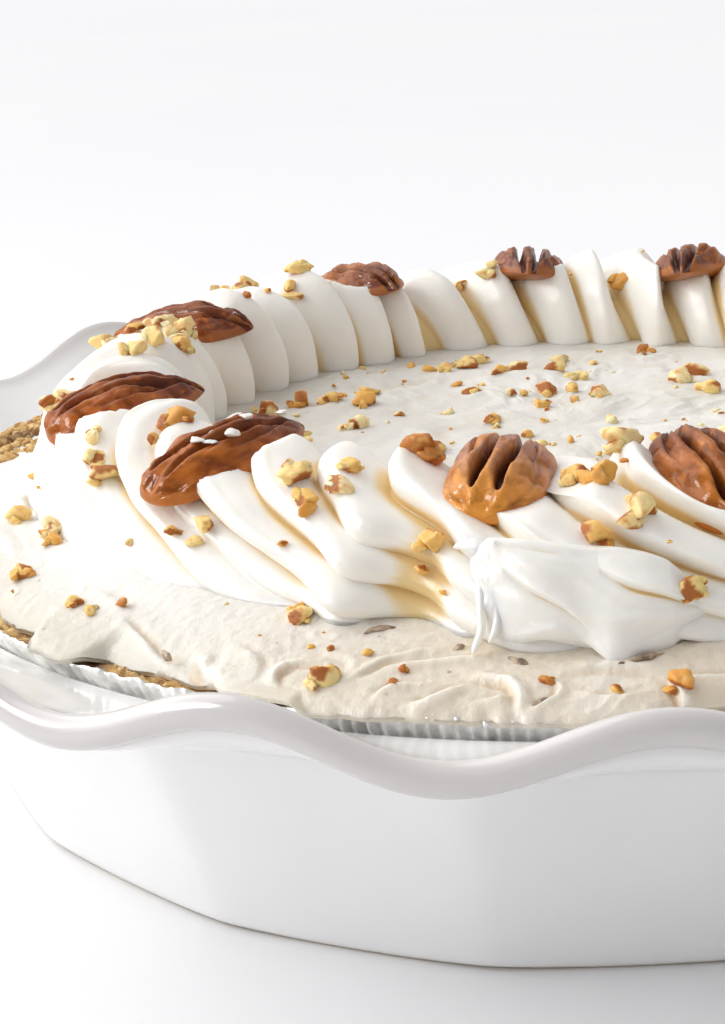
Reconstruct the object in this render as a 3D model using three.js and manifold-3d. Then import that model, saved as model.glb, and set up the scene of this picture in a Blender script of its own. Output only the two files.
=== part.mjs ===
// A pecan cream pie: crumb crust and nut-flecked filling in a foil tin, a piped wreath of whipped
// cream set with pecan halves, and the ruffled ceramic dish that the tin stands in.
// Millimetres, +Z up, origin on the table under the middle of the dish, front towards -Y.
import * as THREE from "three";
import { ParametricGeometry } from "three/addons/geometries/ParametricGeometry.js";
import { mergeVertices } from "three/addons/utils/BufferGeometryUtils.js";
import Module from "manifold-3d";

// ---------------------------------------------------------------- driving dimensions

const clearance = 0.3; // left between pieces that touch

const dish = {
  columns: 96,
  waves: 16,
  crestAngle: -85.3, // azimuth of one crest of the ruffle, degrees
  footInner: 89,
  footOuter: 99.4,
  footRecess: 1.2,
  baseRadius: 101.6, // outer wall at the table, measured on a ridge
  wallSlope: 0.39, // radius gained for each mm of height
  wallTop: 33,
  facetDip: 3.0, // how far the wall sinks between two ridges
  facetSoftness: 0.16,
  lipRadius: 132.4,
  lipHeight: 46.6, // upper face of the lip, halfway between crest and trough
  lipWave: 3.2,
  lipThickness: 4.6,
  floor: 6.5,
  innerRadius: 97.9, // inner wall 8 mm above the table
  innerShoulder: 34, // where the inner wall starts to flare
  flareRadius: 112.1,
  flareHeight: 37.9,
};

const tin = {
  columns: 48,
  sheet: 0.4,
  rimRadius: 111.3,
  rimTop: 40.2,
};

const crust = {
  columns: 36,
  thickness: 6,
  rimWidth: 5.6,
  top: 38.7,
  unevenness: 0.35,
};

const filling = {
  columns: 48,
  centreHeight: 47,
  edgeDrop: 6,
  edgeRadius: 110, // where edgeDrop is reached
  crownPower: 7,
  overhang: 39.5, // underside of the part that laps over the crust
  relief: 0.7,
  hollow: 0.8, // pressed in by the weight of the piped ring
};

const wreath = {
  strands: 43,
  columnsPerStrand: 4,
  rows: 8,
  firstStrand: -121, // azimuth of the first strand on the crest
  strandTwist: 24, // degrees that a strand runs along the ring from inner to outer foot
  twistPower: 2.2,
  innerFoot: 67.5,
  crestRadius: 73.5,
  outerFoot: 86.5,
  jointReach: 9, // extra reach of the outer foot beside the joint
  jointAngle: -98,
  jointFade: -62,
  coreHeight: 10.6,
  corePower: 0.8,
  strandHeight: 7.4,
  strandWidth: 0.6, // half width of a strand as a share of the spacing
  unevenness: 0.22,
};

const pecan = {
  angles: [-96.4, -130.7, -158.9, 158.8, 122.9, 95.4, 69.9, 41, 12, -17, -46, -75.8], // round the ring
  length: 28,
  width: 15,
  height: 5.2,
  ringRadius: 75.5,
  bedHeight: 59.2,
  tilt: 11, // outer end lower, degrees
  grooveAt: 0.34,
  grooveDepth: 0.34,
  droop: 0.7, // tips lower than the middle
  underside: 1.3,
  sink: 1.4, // cream against the side of a half
  bank: 9,
  across: [1, 0.86, 0.6, 0.34, 0.12, -0.12, -0.34, -0.6, -0.86, -1], // where the back is sampled
  stations: 6,
  play: 0.7, // round a half in its hollow
  hollowHeight: 12,
};

// Chopped nuts: azimuth and radius of the spot, and length of the piece.
const chopped = {
  onRing: [
    [-117.2, 81.5, 5.2], [-114.6, 85, 4.2], [-111.6, 83.6, 4], [-105.6, 72.5, 5.4], [-101.7, 88.3, 4.6],
    [-86.9, 81.5, 4.4], [-83.4, 69.5, 5.4], [-87.8, 90.6, 4.2], [-84.4, 90.3, 5.4], [-125.4, 88, 3.6],
    [-145.8, 86.8, 3.8], [-142.6, 87, 4.2], [-141.6, 74.6, 4.6], [-148.3, 84.5, 3.6], [-175.7, 73, 4.2],
    [179.4, 70, 4.6], [169.5, 68.5, 4.4], [174, 75.5, 4.2], [-169, 77, 4], [148.6, 76, 5.2],
    [141.4, 77.5, 5], [138, 70, 4.2], [107.6, 72.5, 4.2], [103, 68.5, 3.8], [80.2, 69.5, 4.6],
  ],
  onBand: [
    [-113, 93.5, 3.8], [-155.7, 94.5, 4.6], [-142.5, 101.4, 4.2], [-133.2, 101.9, 3.4], [-107.2, 107, 4.2],
    [-82.9, 106, 4.4], [20, 100, 4], [-34, 101, 4.4], [96, 100, 4.2], [148, 99, 3.8],
  ],
  ringExtra: 12, // more on the rest of the ring, by draw
  innerPieces: 24, // inside the ring, spread by the golden angle
  innerRadius: 57,
  sink: 0.14, // centre below the smooth surface, as a share of the length
};

// ---------------------------------------------------------------- shared helpers

const radians = THREE.MathUtils.degToRad;
const { euclideanModulo, lerp, smoothstep } = THREE.MathUtils;

// A repeatable draw between 0 and 1 for a whole number.
function draw(n) {
  const s = Math.sin(n * 12.9898) * 43758.5453;
  return s - Math.floor(s);
}

function polar(azimuth, radius, height) {
  return new THREE.Vector3(radius * Math.cos(radians(azimuth)), radius * Math.sin(radians(azimuth)), height);
}

// A closed solid swept round the axis: outline(azimuth) gives its section as points of radius and height.
function turned(columns, outline, start = 0) {
  const rows = outline(0).length - 1;
  const at = (u, v, target) => {
    const azimuth = start + u * 360;
    const point = outline(azimuth)[Math.round(v * rows)];
    target.copy(polar(azimuth, point.x, point.y));
  };
  return new ParametricGeometry(at, columns, rows);
}

const wasm = await Module();
wasm.setup();

function solid(geometry) {
  const bare = geometry.clone();
  bare.deleteAttribute("normal");
  bare.deleteAttribute("uv");
  const merged = mergeVertices(bare, 1e-3);
  const mesh = new wasm.Mesh({
    numProp: 3,
    vertProperties: merged.attributes.position.array,
    triVerts: new Uint32Array(merged.index.array),
  });
  return new wasm.Manifold(mesh);
}

const largest = (manifold) => manifold.decompose().reduce((a, b) => (b.volume() > a.volume() ? b : a));

function geometryOf(manifold) {
  const { vertProperties, triVerts } = manifold.getMesh();
  const geometry = new THREE.BufferGeometry();
  geometry.setAttribute("position", new THREE.BufferAttribute(vertProperties, 3));
  geometry.setIndex(new THREE.BufferAttribute(triVerts, 1));
  geometry.computeVertexNormals();
  return geometry;
}

function named(name, geometry, color, roughness, metalness = 0) {
  const mesh = new THREE.Mesh(geometry, new THREE.MeshStandardMaterial({ color, roughness, metalness }));
  mesh.name = name;
  return mesh;
}

// ---------------------------------------------------------------- dish

const innerWall = (height) => dish.innerRadius + dish.wallSlope * (height - 8);

// 1 on a crest of the ruffle, -1 in a trough.
const ruffle = (azimuth) => Math.cos(radians(dish.waves * (azimuth - dish.crestAngle)));

// 0 on a ridge of the wall, which stands under a trough, 1 in the middle of a facet.
function facet(azimuth) {
  const s = dish.facetSoftness;
  const across = Math.cos(radians((dish.waves / 2) * (azimuth - dish.crestAngle)));
  return (Math.hypot(across, s) - s) / (Math.hypot(1, s) - s);
}

function dishOutline(azimuth) {
  const d = dish;
  const dip = d.facetDip * facet(azimuth);
  const wallFoot = d.baseRadius - 0.4 * dip;
  const wallHead = d.baseRadius + d.wallSlope * d.wallTop - dip;
  const lipTop = d.lipHeight + d.lipWave * ruffle(azimuth);
  const half = d.lipThickness / 2;
  const edge = d.lipRadius;
  const path = new THREE.Path();
  path.moveTo(0, d.footRecess);
  path.lineTo(d.footInner, 0);
  path.lineTo(d.footOuter, 0);
  path.quadraticCurveTo(wallFoot, 0, wallFoot + 0.8, 2.4);
  path.lineTo(wallHead, d.wallTop);
  path.quadraticCurveTo(wallHead + 2.6, lipTop - 7.8, edge - half, lipTop - d.lipThickness);
  path.bezierCurveTo(edge + half / 3, lipTop - d.lipThickness, edge + half / 3, lipTop, edge - half, lipTop);
  path.quadraticCurveTo(edge - 8, lerp(d.flareHeight, lipTop, 0.45), d.flareRadius, d.flareHeight);
  path.lineTo(innerWall(d.innerShoulder), d.innerShoulder);
  path.lineTo(innerWall(d.floor) - 1, d.floor);
  path.lineTo(0, d.floor);
  return path.getPoints(2);
}

// ---------------------------------------------------------------- foil tin

function tinOutline() {
  const outer = clearance + 0.05;
  const inner = outer + tin.sheet;
  const floor = dish.floor + clearance;
  const rimFoot = dish.flareHeight + clearance + 0.2;
  const wall = (offset, height) => new THREE.Vector2(innerWall(height) - offset, height);
  return [
    new THREE.Vector2(0, floor),
    new THREE.Vector2(innerWall(dish.floor) - 1.6, floor),
    wall(outer, dish.innerShoulder + 0.2),
    new THREE.Vector2(tin.rimRadius - 0.4, rimFoot),
    new THREE.Vector2(tin.rimRadius, tin.rimTop),
    new THREE.Vector2(tin.rimRadius - tin.sheet, tin.rimTop),
    new THREE.Vector2(tin.rimRadius - 0.4 - tin.sheet, rimFoot + 0.3),
    wall(inner, dish.innerShoulder + 0.5),
    new THREE.Vector2(innerWall(dish.floor) - 1.8, floor + tin.sheet),
    new THREE.Vector2(0, floor + tin.sheet),
  ];
}

// ---------------------------------------------------------------- crumb crust

const crustOuter = clearance * 2 + tin.sheet + 0.15;
const crustFloor = dish.floor + 2 * clearance + tin.sheet;
const crustRim = tin.rimRadius - 0.4 - tin.sheet - 3 * clearance;

const crustTop = (azimuth) => crust.top + crust.unevenness * Math.sin(radians(11 * azimuth + 40));

function crustOutline(azimuth) {
  const top = crustTop(azimuth);
  const inside = crustOuter + crust.thickness;
  return [
    new THREE.Vector2(0, crustFloor),
    new THREE.Vector2(innerWall(dish.floor) - 2.3, crustFloor),
    new THREE.Vector2(innerWall(dish.innerShoulder) - crustOuter, dish.innerShoulder + 0.2),
    new THREE.Vector2(crustRim, top - 0.3),
    new THREE.Vector2(crustRim - 0.8, top),
    new THREE.Vector2(crustRim - crust.rimWidth, top),
    new THREE.Vector2(innerWall(crustFloor + crust.thickness) - inside, crustFloor + crust.thickness),
    new THREE.Vector2(0, crustFloor + crust.thickness),
  ];
}

// ---------------------------------------------------------------- filling

// The smooth crowned top that the cream was spread to, by radius.
function bed(radius) {
  return filling.centreHeight - filling.edgeDrop * (radius / filling.edgeRadius) ** filling.crownPower;
}

// How far the filling is spread over the crust: it stops short in a few places.
function fillingEdge(azimuth) {
  const waver = Math.sin(radians(3 * azimuth + 200)) + 0.7 * Math.sin(radians(7 * azimuth + 35));
  return 109.4 - 3.6 * smoothstep(waver, 0.7, 1.5);
}

// Low swirls left by the spatula.
function swirl(radius, azimuth) {
  const turn = Math.sin(radians(5 * azimuth) + radius / 7) + 0.6 * Math.sin(radians(9 * azimuth + 70) - radius / 4);
  return (filling.relief * turn) / 1.6;
}

function fillingOutline(azimuth) {
  const inside = crustOuter + crust.thickness + clearance;
  const floor = crustFloor + crust.thickness + clearance;
  const edge = fillingEdge(azimuth);
  const foot = wreathReach(azimuth) + 1;
  const heel = wreath.innerFoot - 4.2;
  const band = (share) => lerp(foot + 3, edge, share);
  const swirled = (radius, share) => new THREE.Vector2(radius, bed(radius) + share * swirl(radius, azimuth));
  return [
    new THREE.Vector2(0, floor),
    new THREE.Vector2(innerWall(floor) - inside - 0.2, floor),
    new THREE.Vector2(crustRim - crust.rimWidth - clearance - 0.1, crust.top + 0.3),
    new THREE.Vector2(crustRim - crust.rimWidth + 0.4, filling.overhang),
    new THREE.Vector2(edge, filling.overhang),
    new THREE.Vector2(edge + 0.3, bed(edge) - 0.5),
    swirled(band(0.85), 0.6),
    swirled(band(0.4), 1),
    new THREE.Vector2(foot, bed(foot)),
    new THREE.Vector2(foot - 4, bed(foot - 4) - filling.hollow),
    new THREE.Vector2(heel + 8, bed(heel + 8) - filling.hollow),
    new THREE.Vector2(heel, bed(heel)),
    swirled(heel - 7, 0.8),
    swirled(heel - 21, 1),
    swirled(heel - 38, 1),
    new THREE.Vector2(heel - 54, bed(heel - 54)),
    new THREE.Vector2(0, bed(0)),
  ];
}

// ---------------------------------------------------------------- whipped-cream wreath

// Outer foot of the piped ring: it spreads beside the joint where the piping began and ended.
function wreathReach(azimuth) {
  const turn = euclideanModulo(azimuth + 180, 360) - 180;
  const rise = smoothstep(turn, wreath.jointAngle - 4, wreath.jointAngle + 5);
  const fall = 1 - smoothstep(turn, wreath.jointFade - 14, wreath.jointFade + 14);
  return wreath.outerFoot + wreath.jointReach * rise * fall;
}

// Azimuth of a strand on the crest of the ring.
function strandAngle(strand) {
  const index = euclideanModulo(strand, wreath.strands);
  const jitter = index > 5 ? 2.4 * (draw(index + 1) - 0.5) : 0;
  return wreath.firstStrand + (360 / wreath.strands) * strand + jitter;
}

const twist = (u) => wreath.strandTwist * (u ** wreath.twistPower - 0.5 ** wreath.twistPower);

const uneven = (strand, seed) => {
  const index = euclideanModulo(strand, wreath.strands);
  return 1 + wreath.unevenness * (2 * draw(index * 3 + seed) - 1);
};

// Rounded strands side by side, the higher one hiding its neighbour: 0 at the core, about 1 on a crest.
function strandLift(crestAngle) {
  const spacing = 360 / wreath.strands;
  const nearest = Math.round((crestAngle - wreath.firstStrand) / spacing);
  let lift = 0;
  for (let strand = nearest - 2; strand <= nearest + 2; strand += 1) {
    const halfWidth = spacing * wreath.strandWidth * uneven(strand, 11);
    const across = (crestAngle - strandAngle(strand)) / halfWidth;
    lift = Math.max(lift, uneven(strand, 29) * Math.sqrt(Math.max(0, 1 - across * across)));
  }
  return lift;
}

// A point of the ring, from its azimuth on the crest and u, which runs from the inner foot (0) to the outer foot (1).
function ringPoint(crestAngle, u) {
  const azimuth = crestAngle + twist(u);
  const lift = strandLift(crestAngle);
  const across = -Math.cos(Math.PI * u);
  const up = Math.sin(Math.PI * u);
  const foot = across < 0 ? wreath.innerFoot : wreathReach(azimuth);
  const reach = Math.abs(foot - wreath.crestRadius);
  const height = wreath.strandHeight * lift * lerp(0.5, 1, up ** 0.7);
  const radius = wreath.crestRadius + across * (reach + height * (across > 0 ? 0.75 : 0.8));
  const rise = wreath.coreHeight * up ** wreath.corePower + height * up;
  return polar(azimuth, radius, bed(radius) + clearance + rise);
}

// The cream is pressed down where a pecan half lies in it.
function pressed(point) {
  for (const place of pecanPlaces) {
    const local = point.clone().applyMatrix4(place.clone().invert());
    const spread = Math.hypot(local.x / (pecan.length / 2), local.y / (pecan.width / 2));
    const limit = pecan.sink + pecan.bank * Math.max(0, spread - 0.9);
    if (spread < 2 && local.z > limit) {
      local.z = limit;
      point.copy(local.applyMatrix4(place));
    }
  }
  return point;
}

// The underside rests on the filling a little inside the outer foot.
function underside(azimuth) {
  const radius = wreathReach(azimuth) - 0.5;
  return polar(azimuth, radius, bed(radius) + clearance);
}

// The whole ring, its columns following the strands and their grooves.
function wreathGeometry() {
  const { strands, columnsPerStrand, rows } = wreath;
  const at = (s, t, target) => {
    const column = s * strands;
    const strand = Math.floor(column);
    const crestAngle = lerp(strandAngle(strand), strandAngle(strand + 1), column - strand);
    const row = Math.round(t * (rows + 2));
    if (row <= rows) target.copy(pressed(ringPoint(crestAngle, 1 - row / rows)));
    else if (row === rows + 2) target.copy(ringPoint(crestAngle, 1));
    else target.copy(underside(crestAngle + twist(1)));
  };
  return new ParametricGeometry(at, strands * columnsPerStrand, rows + 2);
}

// ---------------------------------------------------------------- pecan halves

// Height of the back across the half, from -1 to 1: two grooves part it into three ribs.
function rib(side) {
  const groove = pecan.grooveDepth * Math.exp(-(((Math.abs(side) - pecan.grooveAt) / 0.12) ** 2));
  return (1 - Math.abs(side) ** 2.6) ** 0.6 * (1 - groove);
}

// Width of a half along its length, from -1 to 1, as a share of its full width.
const plump = (along) => Math.max(0, 1 - along * along) ** 0.375 * (1 - 0.12 * along);

function pecanSize(seed) {
  return {
    length: pecan.length * (0.94 + 0.12 * draw(seed)),
    width: pecan.width * (0.94 + 0.12 * draw(seed + 50)),
    height: pecan.height * (0.92 + 0.16 * draw(seed + 90)),
  };
}

// A half kernel lying along X on its flat side.
function pecanGeometry(seed) {
  const { length, width, height } = pecanSize(seed);
  const section = pecan.across.map((side) => [side, height * rib(side)]);
  section.push([-0.6, -pecan.underside], [0.6, -pecan.underside]);
  const at = (s, t, target) => {
    const along = -Math.cos(Math.PI * t);
    const [side, lift] = section[Math.round(s * section.length) % section.length];
    const droop = pecan.droop * along * along;
    target.set((length / 2) * along, (width / 2) * side * plump(along), lift * plump(along) - droop);
  };
  return new ParametricGeometry(at, section.length, pecan.stations);
}

// The hollow that a half leaves in the cream, open above.
function hollowGeometry(seed) {
  const { length, width } = pecanSize(seed);
  const outline = [];
  for (let step = 0; step < 2 * pecan.stations; step += 1) {
    const turn = (Math.PI * step) / pecan.stations;
    const along = Math.cos(turn);
    const side = Math.sign(Math.sin(turn)) * plump(along);
    outline.push(new THREE.Vector2((length / 2 + pecan.play) * along, (width / 2 + pecan.play) * side));
  }
  const geometry = new THREE.ExtrudeGeometry(new THREE.Shape(outline), {
    depth: pecan.hollowHeight,
    bevelEnabled: false,
  });
  return geometry.translate(0, 0, -pecan.underside - pecan.play);
}

// Where a half lies: radially across the ring, its outer end dipping.
function pecanPlace(index) {
  const angle = pecan.angles[index];
  const radius = pecan.ringRadius;
  const turn = new THREE.Matrix4().makeRotationZ(radians(angle + 14 * (draw(index + 7) - 0.5)));
  const dip = new THREE.Matrix4().makeRotationY(radians(pecan.tilt + 6 * (draw(index + 31) - 0.5)));
  const roll = new THREE.Matrix4().makeRotationX(radians(16 * (draw(index + 57) - 0.5)));
  const spot = new THREE.Matrix4().makeTranslation(
    radius * Math.cos(radians(angle)),
    radius * Math.sin(radians(angle)),
    pecan.bedHeight,
  );
  return spot.multiply(turn).multiply(dip).multiply(roll);
}

const pecanPlaces = pecan.angles.map((angle, index) => pecanPlace(index));

// ---------------------------------------------------------------- chopped nuts

// An angular chip of the given length, half sunk where it lies.
function chip(spot, size, seed) {
  const geometry = size > 4.1 ? new THREE.IcosahedronGeometry(size / 2, 0) : new THREE.OctahedronGeometry(size / 2, 0);
  geometry.scale(1, 0.65 + 0.3 * draw(seed), 0.5 + 0.3 * draw(seed + 17));
  geometry.rotateX(radians(50 * draw(seed + 3)));
  geometry.rotateZ(radians(360 * draw(seed + 5)));
  geometry.translate(spot.x, spot.y, spot.z - chopped.sink * size);
  return solid(geometry);
}

// The point of the ring's outer surface at a given azimuth and radius.
function ringSpot(azimuth, radius) {
  let best = null;
  let error = Infinity;
  for (let step = 0; step <= 60; step += 1) {
    const u = 0.05 + (0.93 * step) / 60;
    const point = ringPoint(azimuth - twist(u), u);
    const off = Math.abs(Math.hypot(point.x, point.y) - radius);
    if (off < error) {
      error = off;
      best = point;
    }
  }
  return pressed(best);
}

const bedSpot = (azimuth, radius) => polar(azimuth, radius, bed(radius) + swirl(radius, azimuth) + 0.3);

const clearOfPecans = (spot, size) =>
  pecanPlaces.every((place) => {
    const local = spot.clone().applyMatrix4(place.clone().invert());
    return Math.hypot(local.x / (pecan.length / 2 + size), local.y / (pecan.width / 2 + size)) > 1;
  });

// Each list holds the chips that are joined to one piece.
function ringChips() {
  const chips = chopped.onRing.map(([azimuth, radius, size]) => [ringSpot(azimuth, radius), size]);
  for (let index = 0; index < chopped.ringExtra; index += 1) {
    const azimuth = 62 - 11.2 * index + 5 * draw(index + 200);
    const radius = 68 + 20 * draw(index + 230);
    chips.push([ringSpot(azimuth, radius), 3.6 + 1.6 * draw(index + 260)]);
  }
  return chips.filter(([spot, size]) => clearOfPecans(spot, 0.6 * size));
}

function fillingChips() {
  const chips = chopped.onBand.map(([azimuth, radius, size]) => [bedSpot(azimuth, radius), size]);
  for (let index = 0; index < chopped.innerPieces; index += 1) {
    const radius = chopped.innerRadius * Math.sqrt((index + 0.5) / chopped.innerPieces);
    chips.push([bedSpot(137.5 * index + 20, radius), 3 + 2 * draw(index + 300)]);
  }
  return chips;
}

function withChips(base, chips, seed) {
  return chips.reduce((whole, [spot, size], index) => whole.add(chip(spot, size, seed + index)), base);
}

// ---------------------------------------------------------------- assembly

const pie = new THREE.Group();
pie.add(named("dish", turned(dish.columns, dishOutline, dish.crestAngle), 0xe4e2e1, 0.25));
pie.add(named("foil_tin", turned(tin.columns, tinOutline), 0x8e97a0, 0.35, 0.9));
pie.add(named("crust", turned(crust.columns, crustOutline), 0xa86f2c, 0.9));
const spread = withChips(solid(turned(filling.columns, fillingOutline)), fillingChips(), 400);
pie.add(named("filling", geometryOf(spread), 0xe6d9bd, 0.6));

let ring = solid(wreathGeometry());
const halves = new THREE.Group();
for (let index = 0; index < pecan.angles.length; index += 1) {
  const place = pecanPlaces[index];
  ring = ring.subtract(solid(hollowGeometry(index).applyMatrix4(place)));
  const half = named(`pecan_${String(index + 1).padStart(2, "0")}`, pecanGeometry(index), 0x7a3a1c, 0.4);
  half.applyMatrix4(place);
  halves.add(half);
}
const set = withChips(largest(ring), ringChips(), 500);
pie.add(named("wreath", geometryOf(set), 0xfaf7ef, 0.5));
pie.add(halves);

export default pie;
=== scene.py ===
import bpy
import numpy as np
from mathutils import Matrix, Vector


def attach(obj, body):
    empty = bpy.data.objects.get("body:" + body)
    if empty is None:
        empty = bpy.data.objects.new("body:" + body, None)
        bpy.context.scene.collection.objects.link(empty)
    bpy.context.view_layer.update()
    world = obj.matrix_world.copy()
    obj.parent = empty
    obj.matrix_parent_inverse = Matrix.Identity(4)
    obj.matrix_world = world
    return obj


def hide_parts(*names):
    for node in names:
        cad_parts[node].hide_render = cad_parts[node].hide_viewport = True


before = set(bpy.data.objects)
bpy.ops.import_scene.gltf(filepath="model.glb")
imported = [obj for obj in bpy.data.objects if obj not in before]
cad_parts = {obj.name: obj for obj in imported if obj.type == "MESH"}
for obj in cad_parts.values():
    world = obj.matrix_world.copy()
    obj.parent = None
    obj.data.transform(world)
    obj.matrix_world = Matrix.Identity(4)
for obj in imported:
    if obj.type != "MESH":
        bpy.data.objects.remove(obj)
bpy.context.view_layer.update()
mm = 0.001  # metres in a millimetre


# Small helpers, in millimetres and degrees until a mesh is made.

def draw(n):  # a repeatable draw between 0 and 1 for each number
    s = np.sin(np.asarray(n, float) * 12.9898) * 43758.5453
    return s - np.floor(s)


def smooth(x, low, high):  # 0 below low, 1 above high, with soft ends
    t = np.clip((np.asarray(x, float) - low) / (high - low), 0, 1)
    return t * t * (3 - 2 * t)


def mix(a, b, t):
    return a + (b - a) * t


def sinDeg(a):
    return np.sin(np.radians(a))


def cosDeg(a):
    return np.cos(np.radians(a))


def xyz(x, y, z):
    return np.stack(np.broadcast_arrays(x, y, z), -1)


def polar(azimuth, radius, height):
    return xyz(radius * cosDeg(azimuth), radius * sinDeg(azimuth), height).astype(float)


def azimuthOf(points):
    return np.degrees(np.arctan2(points[..., 1], points[..., 0]))


def halfTurn(azimuth):  # the same direction, between -180 and 180
    return np.mod(azimuth + 180, 360) - 180


def unit(vectors):
    return vectors / np.linalg.norm(vectors, axis=-1, keepdims=True)


# Soft lumps between -1 and 1: a draw at every whole-number corner of space, blended from corner to corner.
def lumps(points, size, seed=0.0):
    p = np.asarray(points, float) / size + 100.0
    cell = np.floor(p)
    f = p - cell
    f = f * f * f * (f * (f * 6 - 15) + 10)
    total = 0.0
    for corner in np.ndindex(2, 2, 2):
        x, y, z = (cell[..., k] + corner[k] for k in range(3))
        nearX, nearY, nearZ = (f[..., k] if corner[k] else 1 - f[..., k] for k in range(3))
        total = total + nearX * nearY * nearZ * draw(x * 1.271 + y * 3.117 + z * 7.47 + seed)
    return 2 * total - 1


def toneValues(tones, shape):
    return {name: np.broadcast_to(tone, shape).reshape(-1).astype(float) for name, tone in tones.items()}


# A skin over a grid of points [row, column]. Columns close on themselves; end rows are closed by a pole each, or
# the last row joins the first.
def skin(points, poles=True, **tones):
    rows, columns = points.shape[:2]
    r, c = np.meshgrid(np.arange(rows - 1 if poles else rows), np.arange(columns), indexing="ij")
    n, m = (c + 1) % columns, (r + 1) % rows
    quads = np.stack([r * columns + c, r * columns + n, m * columns + n, m * columns + c], -1).reshape(-1, 4)
    flat, tris, values = points.reshape(-1, 3), np.zeros((0, 3), int), toneValues(tones, (rows, columns))
    if poles:
        first, last, c, n = len(flat), len(flat) + 1, c[0], n[0]
        flat = np.concatenate([flat, [points[0].mean(0), points[-1].mean(0)]])
        under = np.stack([np.full(columns, first), n, c], -1)
        over = np.stack([np.full(columns, last), (rows - 1) * columns + c, (rows - 1) * columns + n], -1)
        tris = np.concatenate([under, over])
        values = {name: np.append(v, [v[:columns].mean(), v[-columns:].mean()]) for name, v in values.items()}
    return {"points": flat, "quads": quads, "tris": tris, "tones": values}


# Many small copies of one shape in a single skin: points [piece, vertex], with the triangles of one piece.
def crowd(points, faces, **tones):
    pieces, size = points.shape[:2]
    tris = (faces[None] + np.arange(pieces)[:, None, None] * size).reshape(-1, 3)
    return {"points": points.reshape(-1, 3), "quads": np.zeros((0, 4), int), "tris": tris,
            "tones": toneValues(tones, (pieces, size))}


def newObject(name, data):
    made = bpy.data.objects.new(name, data)
    bpy.context.scene.collection.objects.link(made)
    return made


def makePiece(name, skins, material, nodes=()):
    offsets = np.cumsum([0] + [len(s["points"]) for s in skins])
    points = np.concatenate([s["points"] for s in skins]) * mm
    quads, tris = (np.concatenate([s[kind] + offset for s, offset in zip(skins, offsets)])
                   for kind in ("quads", "tris"))
    mesh = bpy.data.meshes.new(name)
    mesh.vertices.add(len(points))
    mesh.vertices.foreach_set("co", points.astype(np.float32).ravel())
    loops = np.concatenate([quads.ravel(), tris.ravel()]).astype(np.int32)
    mesh.loops.add(len(loops))
    mesh.loops.foreach_set("vertex_index", loops)
    starts = np.concatenate([np.arange(len(quads)) * 4, len(quads) * 4 + np.arange(len(tris)) * 3])
    mesh.polygons.add(len(starts))
    mesh.polygons.foreach_set("loop_start", starts.astype(np.int32))
    mesh.update(calc_edges=True)
    mesh.validate()
    for tone in skins[0]["tones"]:
        values = np.concatenate([s["tones"][tone] for s in skins]).astype(np.float32)
        mesh.attributes.new(tone, "FLOAT", "POINT").data.foreach_set("value", values)
    mesh.polygons.foreach_set("use_smooth", np.ones(len(mesh.polygons), bool))
    mesh.materials.append(material)
    piece = newObject(name, mesh)
    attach(piece, "root")
    if nodes:
        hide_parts(*nodes)
    print(f"{name}: {2 * len(quads) + len(tris)} triangles")


# Small helpers for materials.

def addNode(tree, kind, inputs=None, **settings):
    made = tree.nodes.new("ShaderNode" + kind)
    for key, value in settings.items():
        setattr(made, key, value)
    for key, value in (inputs or {}).items():
        if isinstance(value, bpy.types.NodeSocket):
            tree.links.new(value, made.inputs[key])
        else:
            made.inputs[key].default_value = value
    return made


def ramp(tree, mask, *stops):  # stops are (place, colour)
    made = addNode(tree, "ValToRGB", {"Fac": mask})
    ends = made.color_ramp.elements
    while len(ends) < len(stops):
        ends.new(0.5)
    for end, (place, colour) in zip(ends, stops):
        end.position = place
        end.color = (*colour, 1)
    return made.outputs["Color"]


def blendColour(tree, mask, a, b):
    made = addNode(tree, "Mix", {0: mask}, data_type="RGBA")
    for socket, value in ((made.inputs[6], a), (made.inputs[7], b)):
        if isinstance(value, bpy.types.NodeSocket):
            tree.links.new(value, socket)
        else:
            socket.default_value = (*value, 1)
    return made.outputs[2]


def newMaterial(name, **sockets):  # plain values go straight onto the shader's own sockets
    material = bpy.data.materials.new(name)
    material.use_nodes = True
    tree = material.node_tree
    shader = tree.nodes["Principled BSDF"]
    for socket, value in sockets.items():
        shader.inputs[socket.replace("_", " ")].default_value = value
    place = addNode(tree, "TexCoord").outputs["Object"]
    return material, tree, shader, place


def paint(tree, shader, colour):
    tree.links.new(colour, shader.inputs["Base Color"])


def setBump(tree, shader, height, strength, distance):
    bump = addNode(tree, "Bump", {"Height": height, "Strength": strength, "Distance": distance * mm})
    tree.links.new(bump.outputs["Normal"], shader.inputs["Normal"])


def tone(tree, name):
    return addNode(tree, "Attribute", attribute_name=name).outputs["Fac"]


def calc(tree, operation, *values):
    return addNode(tree, "Math", dict(enumerate(values)), operation=operation).outputs[0]


def ranged(tree, value, low, high, top=1.0, bottom=0.0, soft=False):  # low to high of a value, as bottom to top
    given = {"Value": value, "From Min": low, "From Max": high, "To Min": bottom, "To Max": top}
    return addNode(tree, "MapRange", given, interpolation_type="SMOOTHSTEP" if soft else "LINEAR").outputs["Result"]


def fromAxis(tree, place):
    flat = addNode(tree, "VectorMath", {0: place, 1: (1, 1, 0)}, operation="MULTIPLY").outputs["Vector"]
    return addNode(tree, "VectorMath", {0: flat}, operation="LENGTH").outputs["Value"]


def newGroup(name, output, **sizes):  # a vector and some sizes go in, one value comes out
    group = bpy.data.node_groups.new(name, "ShaderNodeTree")
    group.interface.new_socket("Vector", in_out="INPUT", socket_type="NodeSocketVector")
    for label, value in sizes.items():
        group.interface.new_socket(label, in_out="INPUT", socket_type="NodeSocketFloat").default_value = value
    group.interface.new_socket(output, in_out="OUTPUT", socket_type="NodeSocketFloat")
    return group, group.nodes.new("NodeGroupInput").outputs, group.nodes.new("NodeGroupOutput").inputs


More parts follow.
